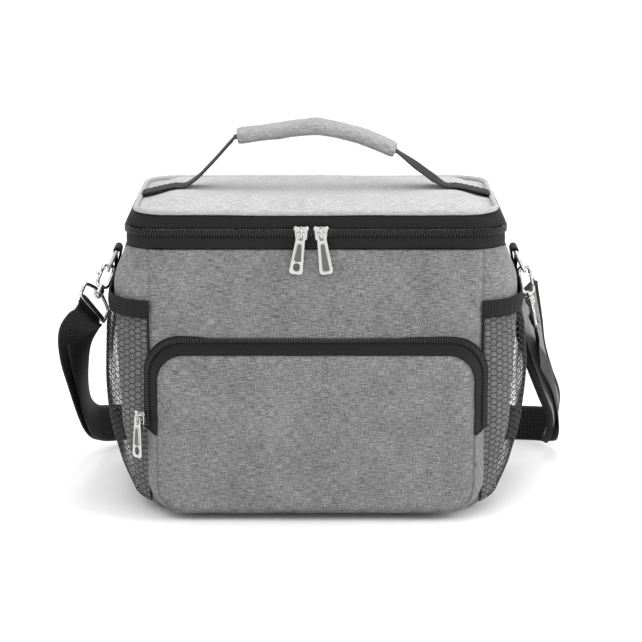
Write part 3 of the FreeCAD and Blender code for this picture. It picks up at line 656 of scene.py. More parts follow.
def tooth(build, centre, along, out, up, length, height, depth):
    """One turn of a nylon coil: a small rounded bar."""
    base = len(build.verts)
    ring = [(-0.5, 0.15), (-0.3, 1.0), (0.3, 1.0), (0.5, 0.15)]
    for level in (-0.5, -0.36, 0.36, 0.5):
        squeeze = 0.55 if abs(level) > 0.4 else 1.0
        for a, b in ring:
            build.verts.append(centre + along * (a * length * squeeze)
                               + out * (b * depth * (0.6 + 0.4 * squeeze)) + up * (level * height))
            build.uvs.append((0.0, 0.0))
    build.stack(base, 4)


def main_coils():
    reach = rim_reach()
    pitch = 0.0021
    count = int(2 * reach / pitch)
    for name, low, high, shift, node, body in (
        ("teeth_lower", 0.2206, 0.2233, 0.0, "lower_zip_coil", ROOT),
        ("teeth_upper", 0.2231, 0.2258, 0.5, "upper_zip_coil", "lid"),
    ):
        build = Build()
        for i in range(count):
            s = -reach + (i + shift + 0.25) * pitch
            point, out = outline((low + high) / 2, s, 0.0005, RIM)
            along = Vector((-out.y, out.x, 0))
            tooth(build, point, along, out, Vector((0, 0, 1)), pitch * 0.72, high - low, 0.0015)
        build.object(name, "coil", body, smooth=False, replaces=(node,))


def stitch_row(name, points, normals, material, body, stitch=0.0032, gap=0.0012, radius=0.00022):
    """A line of stitches as short flat capsules along a path."""
    build = Build()
    run, start, i = 0.0, None, 0
    lengths = [0.0]
    for a, b in zip(points, points[1:]):
        lengths.append(lengths[-1] + (b - a).length)

    def at(distance):
        for k in range(len(lengths) - 1):
            if lengths[k] <= distance <= lengths[k + 1]:
                t = (distance - lengths[k]) / max(1e-9, lengths[k + 1] - lengths[k])
                return points[k].lerp(points[k + 1], t), normals[k].lerp(normals[k + 1], t)
        return points[-1], normals[-1]

    place = gap
    while place + stitch < lengths[-1]:
        (p, pn), (m, mn), (q, qn) = at(place), at(place + stitch / 2), at(place + stitch)
        tangent = (q - p).normalized()
        base = len(build.verts)
        for centre, normal, size in ((p, pn, 0.35), (m, mn, 1.0), (q, qn, 0.35)):
            side = normal.cross(tangent).normalized()
            for a, b in ((-1, 0), (0, 1), (1, 0), (0, -0.6)):
                build.verts.append(centre + side * (a * radius * size)
                                   + normal * (b * radius * size + radius * 0.4))
                build.uvs.append((0.0, 0.0))
        build.stack(base, 3)
        place += stitch + gap
    return build.object(name, material, body)


# ------------------------------------------------------------------ lid
def lid_height(x, y):
    """Height of the lid's cloth: the CAD's dome with soft shoulders and slight slack."""
    ex = min(1.0, max(0.0, (0.1365 - abs(x)) / 0.030))
    ey = min(1.0, max(0.0, (0.0825 - abs(y)) / 0.032))
    t = min(1.0, math.hypot(1 - ex, 1 - ey))
    shoulder = 1 - t * t * (3 - 2 * t)
    slack = 0.0006 * wobble(x, y, 0, 20, 2.0) + 0.0003 * wobble(x, y, 0, 55, 4.0)
    return LID_Z + 0.0066 * shoulder + slack * shoulder + 0.0004 * math.sin(math.pi * (x / 0.29 + 0.5))


def lid_cloth():
    build, rows, uvs = Build(), [], []
    count, rings = 240, 44
    for i in range(rings + 1):
        t = i / rings
        k_size = 1 - t
        width = (LID_TOP[0] - 0.0032) * k_size + 0.0002
        depth = (LID_TOP[1] - 0.0032) * k_size + 0.0002
        radius = (LID_TOP[2] - 0.0015) * k_size + 0.00005
        size = (width, depth, radius)
        quarter = quarter_length(0, size)
        row, uv = [], []
        for k in range(count):
            p, _ = outline(0, 4 * quarter * k / count, 0.0, size)
            z = lid_height(p.x, p.y) if t > 0.0 else LID_Z - 0.0004
            row.append(Vector((p.x, p.y, z)))
            uv.append((p.x, p.y))
        rows.append(row)
        uvs.append(uv)
    build.grid(rows, uvs, close=True)
    # the lid's cloth takes the copy of the melange with the top light painted in
    build.object("lid_cloth", "cloth_lid_painted_toplight", "lid", replaces=("lid_panel",))
    quarter = quarter_length(0, LID_TOP)
    path = []
    for k in range(300):
        s = 4 * quarter * k / 300
        p, n = outline(LID_Z + 0.0007, s, 0.0, LID_TOP)
        sag = 0.0005 * wobble(p.x, p.y, 0, 18, 6.0)
        path.append(p + Vector((0, 0, sag)) + n * (0.0003 * wobble(p.x, p.y, 0, 40, 8.0)))
    tube("lid_piping_cord", path, 0.0021, "piping", "lid", sides=12, closed=True, replaces=("lid_piping",))


def lid_core():
    """The foam under the lid's cloth, drawn in with it at the top."""
    build, count = Build(), 160
    for z, size in ((0.2262, (0.2866, 0.1666, 0.026)), (0.2290, (0.2850, 0.1660, 0.026)),
                    (0.2366, (0.2700, 0.1620, 0.024))):
        quarter = quarter_length(0, size)
        build.verts.extend(outline(z, 4 * quarter * k / count, 0.0, size)[0] for k in range(count))
        build.uvs.extend([(0.0, 0.0)] * count)
    for i in range(2):
        for k in range(count):
            j = (k + 1) % count
            build.faces.append((i * count + k, i * count + j, (i + 1) * count + j, (i + 1) * count + k))
    build.cap(0, count, flip=True)
    build.cap(2 * count, count)
    build.object("lid_core", "foam", "lid", replaces=("lid_foam",))


# ------------------------------------------------------------------ front pocket
POCKET_BACK = (0.258, 0.004, 0.140, 0.026)   # width, bottom, top, radius at the root of its wall
POCKET_FACE = (0.2436, 0.0075, 0.1315, 0.021)  # the same for the cloth face
POCKET_Y = -0.1030


def pocket_ring(width, bottom, top, radius, s):
    """A point on a rounded rectangle standing in XZ; s runs 0..1 from the bottom's middle, to the right."""
    half, tall = width / 2, top - bottom
    size = (tall, width, radius)
    quarter = quarter_length(0, size)
    p, n = outline(0, 4 * quarter * s, 0.0, (width, tall, radius))
    return p.x, (bottom + top) / 2 + p.y, n.x, n.y


def pocket_cloth():
    """The pocket's face; its lower gusset and its zip wall are built after it as pieces of their own."""
    build, rows, uvs = Build(), [], []
    nx, nz = 150, 84
    width, bottom, top, radius = POCKET_FACE
    for i in range(nz + 1):
        v = i / nz
        row, uv = [], []
        for k in range(nx + 1):
            u = k / nx
            x, z = square_to_rounded(u * 2 - 1, v * 2 - 1, width / 2, (top - bottom) / 2, radius)
            edge = min(1 - abs(u * 2 - 1), 1 - abs(v * 2 - 1))
            ease = min(1.0, edge / 0.07)
            roll = 1 - ease * ease * (3 - 2 * ease)
            zz = z + (top + bottom) / 2
            slack = 0.0016 * wobble(x, 0.3, zz, 14, 1.0) + 0.0008 * wobble(x, 0.3, zz, 40, 2.0)
            crease = crease_at(x, zz)
            puff = 0.0016 * math.sin(math.pi * u) * math.sin(math.pi * v)
            y = POCKET_Y - puff - slack * ease + 0.0032 * roll + crease
            row.append(Vector((x, y, zz)))
            uv.append((x + 0.71, zz + 0.4))
        rows.append(row)
        uvs.append(uv)
    build.grid(rows, uvs)
    thing = build.object("pocket_face", "cloth", None, ride=False, replaces=("pocket_flap",))
    thicken(thing, 0.0011)
    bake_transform(thing)
    gusset()
    pocket_wall()


def crease_at(x, z):
    """Soft creases near the zip's ends and at the lower corners."""
    total = 0.0
    for cx, cz, angle, length, wide, depth in (
        (0.110, 0.098, 1.1, 0.030, 0.0035, 0.0011), (0.104, 0.072, 0.9, 0.034, 0.004, 0.0012),
        (-0.106, 0.060, -0.9, 0.026, 0.004, 0.0009), (0.060, 0.020, 0.2, 0.05, 0.005, 0.0008),
        (-0.070, 0.018, -0.15, 0.06, 0.005, 0.0008),
    ):
        dx, dz = x - cx, z - cz
        along = dx * math.cos(angle) + dz * math.sin(angle)
        across = -dx * math.sin(angle) + dz * math.cos(angle)
        total += depth * math.exp(-(along / length) ** 2 - (across / wide) ** 2)
    return total


def square_to_rounded(a, b, half_w, half_h, radius):
    """Maps the square -1..1 onto a rounded rectangle, keeping its grid even inside."""
    x, z = a * half_w, b * half_h
    dx, dz = abs(x) - (half_w - radius), abs(z) - (half_h - radius)
    if dx > 0 and dz > 0:
        m = max(dx, dz)
        scale = m / math.hypot(dx, dz)
        x = math.copysign(half_w - radius + dx * scale, x)
        z = math.copysign(half_h - radius + dz * scale, z)
    return x, z


def wall_loop(inner, outer, y_front, y_back, s_low, s_high, steps, depth_steps, soft):
    rows, uvs = [], []
    for j in range(depth_steps + 1):
        t = j / depth_steps
        shape = [a + (b - a) * t for a, b in zip(inner, outer)]
        row, uv = [], []
        for k in range(steps + 1):
            s = s_low + (s_high - s_low) * k / steps
            x, z, nx, nz = pocket_ring(*shape, s)
            puff = soft * math.sin(math.pi * t) + 0.0004 * wobble(x, t, z, 40, 3.0)
            y = y_front + (y_back - y_front) * t
            row.append(Vector((x + nx * puff, y, max(0.0006, z + nz * puff))))
            uv.append((s * 0.75, t * 0.02 + 0.9))
        rows.append(row)
        uvs.append(uv)
    return rows, uvs


def split_s():
    """The parts of the pocket's outline below the split: how far s goes up each side."""
    low, high = 0.0, 0.5
    for _ in range(40):
        middle = (low + high) / 2
        if pocket_ring(*POCKET_BACK, middle)[1] < POCKET_SPLIT:
            low = middle
        else:
            high = middle
    return low


def gusset():
    """The grey cloth of the pocket's bottom and lower sides."""
    s = split_s()
    back = (0.2590, 0.0055, 0.140, 0.026)
    rows, uvs = wall_loop(POCKET_FACE, back, POCKET_Y + 0.0030, -0.0853, -s, s, 170, 8, 0.0014)
    last = []
    for point in rows[-1]:
        _, depth, _ = sizes_at(point.z)
        last.append(Vector((point.x, -depth / 2 + 0.0006, point.z)))
    rows.append(last)
    uvs.append([(u, v + 0.004) for u, v in uvs[-1]])
    build = Build()
    build.grid(rows, uvs, flip=True)
    thing = build.object("pocket_gusset", "cloth", ROOT, replaces=("pocket_pouch",))
    thicken(thing, 0.0009, offset=0.0)


def pocket_wall():
    """Zip tape and coils: the flap's half moves with the flap, the other is sewn to the bag."""
    s = split_s()
    flap_front = (POCKET_FACE[0] - 0.0004, POCKET_FACE[1], POCKET_FACE[2] + 0.0002, POCKET_FACE[3])
    rows, uvs = wall_loop(flap_front, (0.2560, 0.004, 0.1392, 0.026), POCKET_Y + 0.0022, -0.0885,
                          s + 0.002, 1 - s - 0.002, 200, 6, 0.0003)
    build = Build()
    build.grid(rows, uvs, flip=True)
    thing = build.object("flap_tape", "tape", "pocket_flap", replaces=("pocket_flap_tape",))
    thicken(thing, 0.0009, offset=0.0)
    rows, uvs = wall_loop((0.2562, 0.004, 0.1393, 0.026), (0.2640, 0.003, 0.1432, 0.028), -0.0884, -0.0862,
                          s + 0.001, 1 - s - 0.001, 200, 3, 0.0)
    build = Build()
    build.grid(rows, uvs, flip=True)
    thing = build.object("bag_tape", "tape", ROOT)
    thicken(thing, 0.0008, offset=0.0)
    for name, shape, y, shift, body, node in (
        ("flap_teeth", (0.2578, 0.004, 0.1400, 0.0263), -0.0900, 0.0, "pocket_flap", None),
        ("bag_teeth", (0.2600, 0.0035, 0.1411, 0.0268), -0.0887, 0.5, ROOT, "pocket_bag_coil"),
    ):
        build = Build()
        length = 0.40
        count = int(length / 0.0021)
        for i in range(count):
            at = s + 0.004 + (1 - 2 * s - 0.008) * (i + shift + 0.2) / count
            x, z, nx, nz = pocket_ring(*shape, at)
            out = Vector((nx, 0, nz))
            along = Vector((-nz, 0, nx))
            tooth(build, Vector((x, y, z)), along, Vector((0, -1, 0)), out, 0.0015, 0.0026, 0.0014)
        build.object(name, "coil", body, smooth=False, replaces=(node,) if node else ())


# ------------------------------------------------------------------ mesh pockets
NET_LOW, NET_TOP = 0.007, 0.1612
NET_STAND_OFF = [(0.0, 0.0020), (0.040, 0.0096), (0.10, 0.0116), (0.145, 0.0075), (0.1612, 0.0034),
                 (0.18, 0.0028)]  # height, distance from the bag


def net_offset(z, t):
    """How far the net stands off the bag; t runs 0..1 from its front seam to its back seam."""
    along = math.sin(math.pi * t) ** 0.6 if 0 < t < 1 else 0.0
    for (z0, a), (z1, b) in zip(NET_STAND_OFF, NET_STAND_OFF[1:]):
        if z <= z1:
            k = (z - z0) / (z1 - z0)
            k = k * k * (3 - 2 * k)
            return 0.0012 + (a + (b - a) * k) * along
    return 0.0012


def net_point(panel, t, z):
    low, high = panel_span(panel, z)
    point, normal = outline(z, low + (high - low) * t)
    lump = 0.0011 * wobble(point.x, point.y, z, 26, 4.0)
    return point + normal * (net_offset(z, t) + max(-0.0006, lump)), normal


def mesh_pocket(panel):
    """A net of hexagonal cells: each thread is a thin prism."""
    cell = 0.0054
    wide = 0.186
    columns = int(wide / (cell * 0.75))
    rows = int((NET_TOP - NET_LOW) / (cell * 0.866))
    verts, edges, lookup = [], set(), {}

    def vertex(a, b):
        key = (round(a * 4000), round(b * 4000))
        if key not in lookup:
            lookup[key] = len(verts)
            verts.append((a, b))
        return lookup[key]

    for i in range(columns + 1):
        for j in range(rows + 1):
            cx = i * 0.75 * cell
            cz = (j + (0.5 if i % 2 else 0.0)) * cell * 0.866
            corner = [vertex(cx + cell / 2 * math.cos(a), cz + cell / 2 * math.sin(a))
                      for a in (math.radians(60 * k) for k in range(6))]
            for a, b in zip(corner, corner[1:] + corner[:1]):
                edges.add((min(a, b), max(a, b)))
    build = Build()
    points = []
    for a, b in verts:
        t = min(1.0, max(0.0, a / wide))
        z = min(NET_TOP, max(NET_LOW, NET_LOW + b))
        jitter = 0.0005 * wobble(a, b, 0, 300, 3.0)
        points.append(net_point(panel, min(1.0, max(0.0, t + jitter)), z + jitter * 0.6))
    for a, b in sorted(edges):
        (p, pn), (q, qn) = points[a], points[b]
        along = q - p
        if along.length < 0.0006:
            continue
        tangent = along.normalized()
        base = len(build.verts)
        for centre, normal in ((p, pn), (q, qn)):
            side = normal.cross(tangent).normalized()
            for u, v in ((-1, 0), (0, 0.8), (1, 0), (0, -0.8)):
                build.verts.append(centre + side * (u * 0.00042) + normal * (v * 0.0003))
                build.uvs.append((0.0, 0.0))
        build.stack(base, 2, caps=False)
    build.object(f"net_{panel}", "net", ROOT, replaces=(f"{panel}_mesh_pocket",))
    elastic(panel)
    net_binding(panel)


def elastic(panel):
    """The gathered elastic at the pocket's mouth."""
    build, rows, uvs = Build(), [], []
    count = 120
    for i in range(7):
        v = i / 6
        row, uv = [], []
        for k in range(count + 1):
            t = k / count
            slant = 0.0045 * math.cos(math.pi * t * 2) * 0.5
            z = NET_TOP - 0.0015 + 0.0135 * v - slant + 0.0006 * wobble(t, 0, 0, 30, 2.0)
            point, normal = net_point(panel, t, min(z, 0.178))
            ripple = 0.00035 * math.sin(t * 230) * math.sin(math.pi * v)
            row.append(point + normal * (0.0006 + ripple + 0.0004 * math.sin(math.pi * v)))
            uv.append((t * 0.186, v * 0.0135))
        rows.append(row)
        uvs.append(uv)
    build.grid(rows, uvs)
    thing = build.object(f"elastic_{panel}", "tape", ROOT, replaces=(f"{panel}_pocket_elastic",))
    thicken(thing, 0.0014, offset=0.0)


def net_binding(panel):
    """The narrow black tape that the net is sewn in with, down both seams."""
    for end in (0, 1):
        path = []
        for i in range(40):
            z = 0.010 + (NET_TOP - 0.010) * i / 39
            path.append(net_point(panel, 0.004 if end == 0 else 0.996, z)[0])
        tube(f"net_edge_{panel}_{end}", path, 0.0008, "tape", ROOT, sides=6)


# ------------------------------------------------------------------ metal pieces
def place_matrix(origin, x_axis, y_axis, z_axis):
    m = Matrix((x_axis, y_axis, z_axis)).transposed().to_4x4()
    m.translation = origin
    return m


def moved(points, matrix):
    return [matrix @ Vector(p) for p in points]


def rounded_plate(name, outline_points, holes, thick, matrix, body, bevel_width=0.0003,
                  material="metal", **kw):
    """A flat plate in the local XZ plane from a 2-D outline with round holes, as a filled curve."""
    curve = bpy.data.curves.new(name, "CURVE")
    curve.dimensions = "2D"
    curve.fill_mode = "BOTH"
    curve.extrude = thick / 2 - bevel_width
    curve.bevel_depth = bevel_width
    curve.bevel_resolution = 2
    for loop in [outline_points] + holes:
        spline = curve.splines.new("POLY")
        spline.points.add(len(loop) - 1)
        for point, (a, b) in zip(spline.points, loop):
            point.co = (a, b, 0, 1)
        spline.use_cyclic_u = True
    temp = bpy.data.objects.new(name + "_curve", curve)
    bpy.context.scene.collection.objects.link(temp)
    mesh = bpy.data.meshes.new_from_object(temp.evaluated_get(bpy.context.evaluated_depsgraph_get()))
    bpy.data.objects.remove(temp)
    swap = matrix @ Matrix(((1, 0, 0, 0), (0, 0, -1, 0), (0, 1, 0, 0), (0, 0, 0, 1)))
    verts = [swap @ v.co for v in mesh.vertices]
    faces = [tuple(p.vertices) for p in mesh.polygons]
    return add_object(name, verts, faces, material, body, smooth=False, **kw)


def slot_outline(half_w, low, high, r, segments=6, top_w=None):
    """A rounded rectangle from low to high; its top may be narrower."""
    top_w = half_w if top_w is None else top_w
    points = []
    for cx, cz, start in ((half_w - r, low + r, -90), (top_w - r, high - r, 0), (-(top_w - r), high - r, 90),
                          (-(half_w - r), low + r, 180)):
        for k in range(segments + 1):
            angle = math.radians(start + 90 * k / segments)
            points.append((cx + r * math.cos(angle), cz + r * math.sin(angle)))
    return points


def box_at(build, matrix, low, high):
    base = len(build.verts)
    for x in (low[0], high[0]):
        for y in (low[1], high[1]):
            for z in (low[2], high[2]):
                build.verts.append(matrix @ Vector((x, y, z)))
                build.uvs.append((0, 0))
    for face in ((0, 1, 3, 2), (4, 6, 7, 5), (0, 4, 5, 1), (2, 3, 7, 6), (0, 2, 6, 4), (1, 5, 7, 3)):
        build.faces.append(tuple(base + i for i in face))


def zip_slider(prefix, body_slider, body_pull, matrix, lean, long_hole):
    """Slider: a Y-shaped face with a bail. Pull: a long plate that hangs in the bail."""
    right = [(0.0028, -0.0052), (0.0040, -0.0042), (0.0044, 0.0012), (0.0054, 0.0040), (0.0046, 0.0052),
             (0.0018, 0.0046)]
    face = [(-0.0028, -0.0052)] + right + [(0.0, 0.0050)] + [(-a, b) for a, b in right[:0:-1]]
    front = matrix @ Matrix.Translation((0, -0.0006, 0))
    rounded_plate(f"{prefix}_face", face, [], 0.0016, front, body_slider, 0.0004,
                  replaces=(f"{prefix}_slider",))
    build = Build()
    box_at(build, matrix, (-0.0042, 0.0004, -0.0048), (-0.0034, 0.0018, 0.0030))
    box_at(build, matrix, (0.0034, 0.0004, -0.0048), (0.0042, 0.0018, 0.0030))
    flange = build.object(f"{prefix}_flanges", "metal", body_slider, smooth=False)
    bevel(flange, 0.0002)
    arch = [(0, -0.0010, 0.0040), (0, -0.0034, 0.0038), (0, -0.0050, 0.0024), (0, -0.0055, 0.0),
            (0, -0.0050, -0.0022), (0, -0.0032, -0.0038), (0, -0.0008, -0.0040)]
    tube(f"{prefix}_bail", moved(catmull(arch, 6), matrix), 0.00095, "metal", body_slider, sides=10)
    hinge = matrix @ Matrix.Translation((0, -0.0031, 0)) @ Matrix.Rotation(lean, 4, "Y")
    outer = slot_outline(0.0049, -0.0310, 0.0010, 0.0022, top_w=0.0030)
    holes = [slot_outline(0.0019, -0.0052, -0.0006, 0.0012)]
    if long_hole:
        holes.append(slot_outline(0.0028, -0.0292, -0.0225, 0.0026))
    rounded_plate(f"{prefix}_leaf", outer, holes, 0.0014, hinge, body_pull, 0.00035,
                  replaces=(f"{prefix}_pull",))
    low = -0.0212 if long_hole else -0.0288
    recess = slot_outline(0.0026, low, -0.0078, 0.0016, top_w=0.0015)
    sunk = hinge @ Matrix.Translation((0, -0.0005, 0))
    rounded_plate(f"{prefix}_recess", recess, [], 0.0006, sunk, body_pull, 0.0001, material="metal_dark")
    rim = [(a, -0.0009, b) for a, b in slot_outline(0.0030, low - 0.0005, -0.0072, 0.0018, top_w=0.0019)]
    tube(f"{prefix}_rim", moved(rim, hinge), 0.00040, "metal", body_pull, sides=8, closed=True)


def sliders():
    face_y = -0.0872
    for prefix, x, lean, hole in (("left_lid", -0.011, math.radians(8), True),
                                  ("right_lid", 0.004, math.radians(-8), False)):
        matrix = Matrix.Translation((x, face_y, SPLIT_Z))
        zip_slider(prefix, f"{prefix}_slider", f"{prefix}_pull", matrix, lean, hole)
    turn = Matrix.Rotation(math.radians(-45), 4, "Z")
    matrix = Matrix.Translation((-0.1344, -0.0914, 0.080)) @ turn
    zip_slider("pocket", "pocket_slider", "pocket_pull", matrix, math.radians(2), True)


# The hooks' own axes at rest, as the CAD places them: origin, towards the ring, and across the link.
HOOKS = {
    "left": {"at": (-0.163681, -0.009546, 0.181832), "up": (0.276289, 0.707107, 0.650895),
             "x": (-0.920505, 0.0, 0.390731), "eye_x": (0.452224, 0.501947, -0.737253)},
    "right": {"at": (0.165640, 0.0, 0.178341), "up": (-0.207912, 0.0, 0.978148),
              "x": (0.978148, 0.0, 0.207912), "eye_x": (0.0, 1.0, 0.0)},
}
RING_BAR = (0.1575, 0.195)
RING_LEAN = math.radians(25)
RING_HALF, RING_LEG = 0.015, 0.005


def ring_and_hook(side, sign):
    lean = Matrix.Rotation(-sign * RING_LEAN, 4, "Y")
    place = Matrix.Translation((sign * RING_BAR[0], 0, RING_BAR[1])) @ lean
    loop = [(0, -RING_HALF, 0.0), (0, -RING_HALF, -RING_LEG)]
    loop += [(0, -RING_HALF * math.cos(a), -RING_LEG - RING_HALF * math.sin(a))
             for a in (math.pi * k / 24 for k in range(1, 24))]
    loop += [(0, RING_HALF, -RING_LEG), (0, RING_HALF, 0.0)]
    loop += [(0, RING_HALF - 2 * RING_HALF * k / 10, 0.0) for k in range(1, 10)]
    tube(f"{side}_ring_wire", moved(loop, place), 0.0016, "metal", f"{side}_d_ring", sides=14, closed=True,
         replaces=(f"{side}_d_ring",))

    hook = HOOKS[side]
    up, x_axis = Vector(hook["up"]).normalized(), Vector(hook["x"]).normalized()
    matrix = place_matrix(Vector(hook["at"]), x_axis, up.cross(x_axis), up)
    # the claw: from the gate's seat round the bottom, up the closed side and over the top to the nose
    claw = [(0.00425, -0.0150), (0.00425, -0.0165), (0.0034, -0.0188), (0.0, -0.0199), (-0.0034, -0.0188),
            (-0.0044, -0.0162), (-0.0046, -0.0100), (-0.0045, -0.0030), (-0.0036, 0.0006), (0.0, 0.0020),
            (0.0034, 0.0008), (0.0044, -0.0018), (0.0043, -0.0044)]
    points = [(a, 0, b) for a, b in catmull(claw, 6)]
    tube(f"{side}_claw", moved(points, matrix), 0.00165, "metal", f"{side}_hook", sides=12,
         replaces=(f"{side}_snap_hook",))
    stem = [(0.0, -0.0190), (0.0026, -0.0192), (0.0026, -0.0215), (0.0017, -0.0222), (0.0017, -0.0285),
            (0.0029, -0.0286), (0.0027, -0.0302), (0.0, -0.0306)]
    lathe(f"{side}_stem", stem, matrix, f"{side}_hook")
    gate = [(0.00425, 0, -0.0146), (0.0043, 0, -0.0105), (0.0043, 0, -0.0052)]
    tube(f"{side}_gate_bar", moved(gate, matrix), 0.0012, "metal", f"{side}_gate", sides=10,
         replaces=(f"{side}_hook_gate",))
    lever = [(0.0046, 0, -0.0098), (0.0066, 0, -0.0096), (0.0080, 0, -0.0090)]
    tube(f"{side}_gate_lever", moved(lever, matrix), 0.0010, "metal", f"{side}_gate", sides=10)

    eye_x = Vector(hook["eye_x"])
    eye_x = (eye_x - up * eye_x.dot(up)).normalized()
    eye = place_matrix(Vector(hook["at"]), eye_x, up.cross(eye_x), up)
    barrel = [(0.00186, -0.0226), (0.0036, -0.0226), (0.0041, -0.0236), (0.0036, -0.0246),
              (0.0041, -0.0256), (0.0037, -0.0266), (0.0040, -0.0276), (0.0034, -0.0281), (0.00186, -0.0281)]
    lathe(f"{side}_barrel", barrel, eye, ROOT)
    wire = [(0.0030, -0.0252), (0.0075, -0.0262), (0.0145, -0.0290), (0.0172, -0.0318), (0.0175, -0.0365),
            (0.0172, -0.0405), (0.0150, -0.0420), (0.0, -0.0420)]
    loop = wire + [(-a, b) for a, b in wire[::-1][1:]]
    points = [(a, 0, b) for a, b in catmull(loop, 5)]
    tube(f"{side}_eye_wire", moved(points, eye), 0.0015, "metal", ROOT, sides=12,
         replaces=(f"{side}_hook_eye",))
    return eye


def lathe(name, profile, matrix, body, segments=24):
    build, rows, uvs = Build(), [], []
    for r, z in profile:
        rows.append([matrix @ Vector((r * math.cos(a), r * math.sin(a), z))
                     for a in (math.tau * k / segments for k in range(segments))])
        uvs.append([(0.0, 0.0)] * segments)
    build.grid(rows, uvs, close=True)
    return build.object(name, "metal", body)


# ------------------------------------------------------------------ webbing
def ring_tab(side, sign):
    """The webbing that holds a D-ring: down the panel, round the ring's bar and back."""
    stations = []
    bx, bz = RING_BAR
    route = [(0.1574, 0.1745), (0.1572, 0.182), (0.1558, 0.1895), (0.1548, 0.1945)]
    for k in range(9):
        angle = math.radians(190 - 210 * k / 8)
        route.append((bx + 0.0024 * math.cos(angle), bz + 0.0024 * math.sin(angle)))
    route += [(0.1592, 0.1905), (0.1590, 0.184), (0.1588, 0.1755)]
    for x, z in route:
        stations.append((sign * x, 0.0, z, 0.0, 1.0, 0.0))
    ribbon(f"{side}_tab", stations, 0.025, 0.0012, "webbing", ROOT, steps=4, replaces=(f"{side}_ring_tab",))


STRAP_WIDTH, STRAP_THICK, PAD_WIDTH = 0.030, 0.0014, 0.052
STRAP = [
    (-0.188, -0.038, 0.137, 0.60, 0.66, -0.45), (-0.193, -0.024, 0.115, 0.40, 0.90, -0.05),
    (-0.1935, -0.004, 0.090, 0.20, 0.92, 0.33), (-0.1925, 0.024, 0.064, 0.08, 0.80, 0.60),
    (-0.191, 0.058, 0.042, 0, 0.60, 0.80), (-0.186, 0.094, 0.027, 0, 0.35, 0.94),
    (-0.170, 0.122, 0.020, 0, 0.12, 0.99), (-0.140, 0.136, 0.018, 0, 0, 1), (-0.090, 0.139, 0.0176, 0, 0, 1),
    (0.0, 0.140, 0.0176, 0, 0, 1), (0.080, 0.140, 0.0176, 0, 0, 1), (0.122, 0.140, 0.0156, 0, 0.25, 0.97),
    (0.160, 0.140, 0.0150, 0, 0.40, 0.92), (0.188, 0.136, 0.0150, 0, 0.40, 0.92),
    (0.202, 0.124, 0.0175, 0, 0.45, 0.89), (0.206, 0.107, 0.025, 0, 0.62, 0.78),
    (0.203, 0.087, 0.046, 0, 0.80, 0.60), (0.195, 0.059, 0.075, 0, 0.80, 0.60),
    (0.183, 0.034, 0.099, 0, 0.88, 0.45), (0.179, 0.012, 0.113, 0, 0.97, 0.20),
]
RETURN = [
    (-0.1825, -0.032, 0.138, 0.60, 0.66, -0.45), (-0.1865, -0.018, 0.115, 0.40, 0.90, -0.05),
    (-0.1875, 0.003, 0.088, 0.20, 0.92, 0.33), (-0.188, 0.026, 0.064, 0.08, 0.80, 0.60),
    (-0.187, 0.057, 0.042, 0, 0.60, 0.80), (-0.182, 0.091, 0.027, 0, 0.35, 0.94),
    (-0.167, 0.118, 0.020, 0, 0.12, 0.99), (-0.139, 0.132, 0.018, 0, 0, 1), (-0.090, 0.135, 0.0176, 0, 0, 1),
    (0.010, 0.136, 0.0176, 0, 0, 1),
]
PAD = [
    (0.1985, 0.100, 0.0190, 0.30, 0.92, 0.25, 0.70), (0.2003, 0.092, 0.035, 0.20, 0.85, 0.48, 0.97),
    (0.1955, 0.077, 0.0575, 0.06, 0.83, 0.55, 1.0), (0.1868, 0.0625, 0.0825, 0.10, 0.83, 0.55, 1.0),
    (0.1785, 0.047, 0.111, 0.24, 0.85, 0.46, 1.0), (0.1712, 0.039, 0.140, 0.36, 0.88, 0.30, 0.97),
    (0.1700, 0.037, 0.153, 0.40, 0.90, 0.15, 0.85),
]


def eye_stations(eye, reverse=False, shift=0.0):
    """The webbing round an eye's bar and the short straight run away from it."""
    side = eye.to_3x3() @ Vector((1, 0, 0))
    stations = []
    for y, z in ((0.0 + shift, -0.0510), (shift * 0.6 + 0.0010, -0.0462)):
        stations.append((*(eye @ Vector((0, y, z))), *side))
    for k in range(6):
        angle = math.radians(-60 + 250 * k / 5)
        turn = Vector((0, 0.0024 * math.cos(angle), -0.042 + 0.0024 * math.sin(angle)))
        stations.append((*(eye @ turn), *side))
    return stations if not reverse else stations[::-1]


def shoulder_strap(left_eye, right_eye):
    left = eye_stations(left_eye, reverse=True, shift=0.0012)
    right = eye_stations(right_eye, shift=0.0)
    ribbon("strap_main", left + STRAP + right, STRAP_WIDTH, STRAP_THICK, "webbing", ROOT, steps=6,
           replaces=("shoulder_strap",))
    ribbon("strap_doubled", RETURN, STRAP_WIDTH, STRAP_THICK, "webbing", ROOT, replaces=("strap_return",))
    pad = ribbon("pad_sleeve", PAD, PAD_WIDTH, 0.0046, "cloth", ROOT, steps=10, fill=0.0006,
                 replaces=("shoulder_pad",))
    for sign in (-1, 1):
        stations = []
        for s in PAD:
            side = Vector(s[3:6]).normalized() * (sign * 0.0262 * s[6])
            stations.append((s[0] + side.x, s[1] + side.y, s[2] + side.z, *s[3:6]))
        ribbon(f"pad_edge_{'low' if sign < 0 else 'high'}", stations, 0.0040, 0.0058, "tape", ROOT, steps=10,
               replaces=("pad_binding",) if sign > 0 else ())
    for index in (0, len(PAD) - 1):
        s = PAD[index]
        other = PAD[1] if index == 0 else PAD[-2]
        along = (Vector(other[:3]) - Vector(s[:3])).normalized() * 0.001
        across = Vector(s[3:6]).normalized()
        path = [Vector(s[:3]) + along + across * (0.027 * s[6] * k / 6) for k in range(-6, 7)]
        out = along.normalized().cross(across)
        stations = [(*p, *out) for p in path]
        ribbon(f"pad_end_{index}", stations, 0.0062, 0.0030, "tape", ROOT, steps=2)


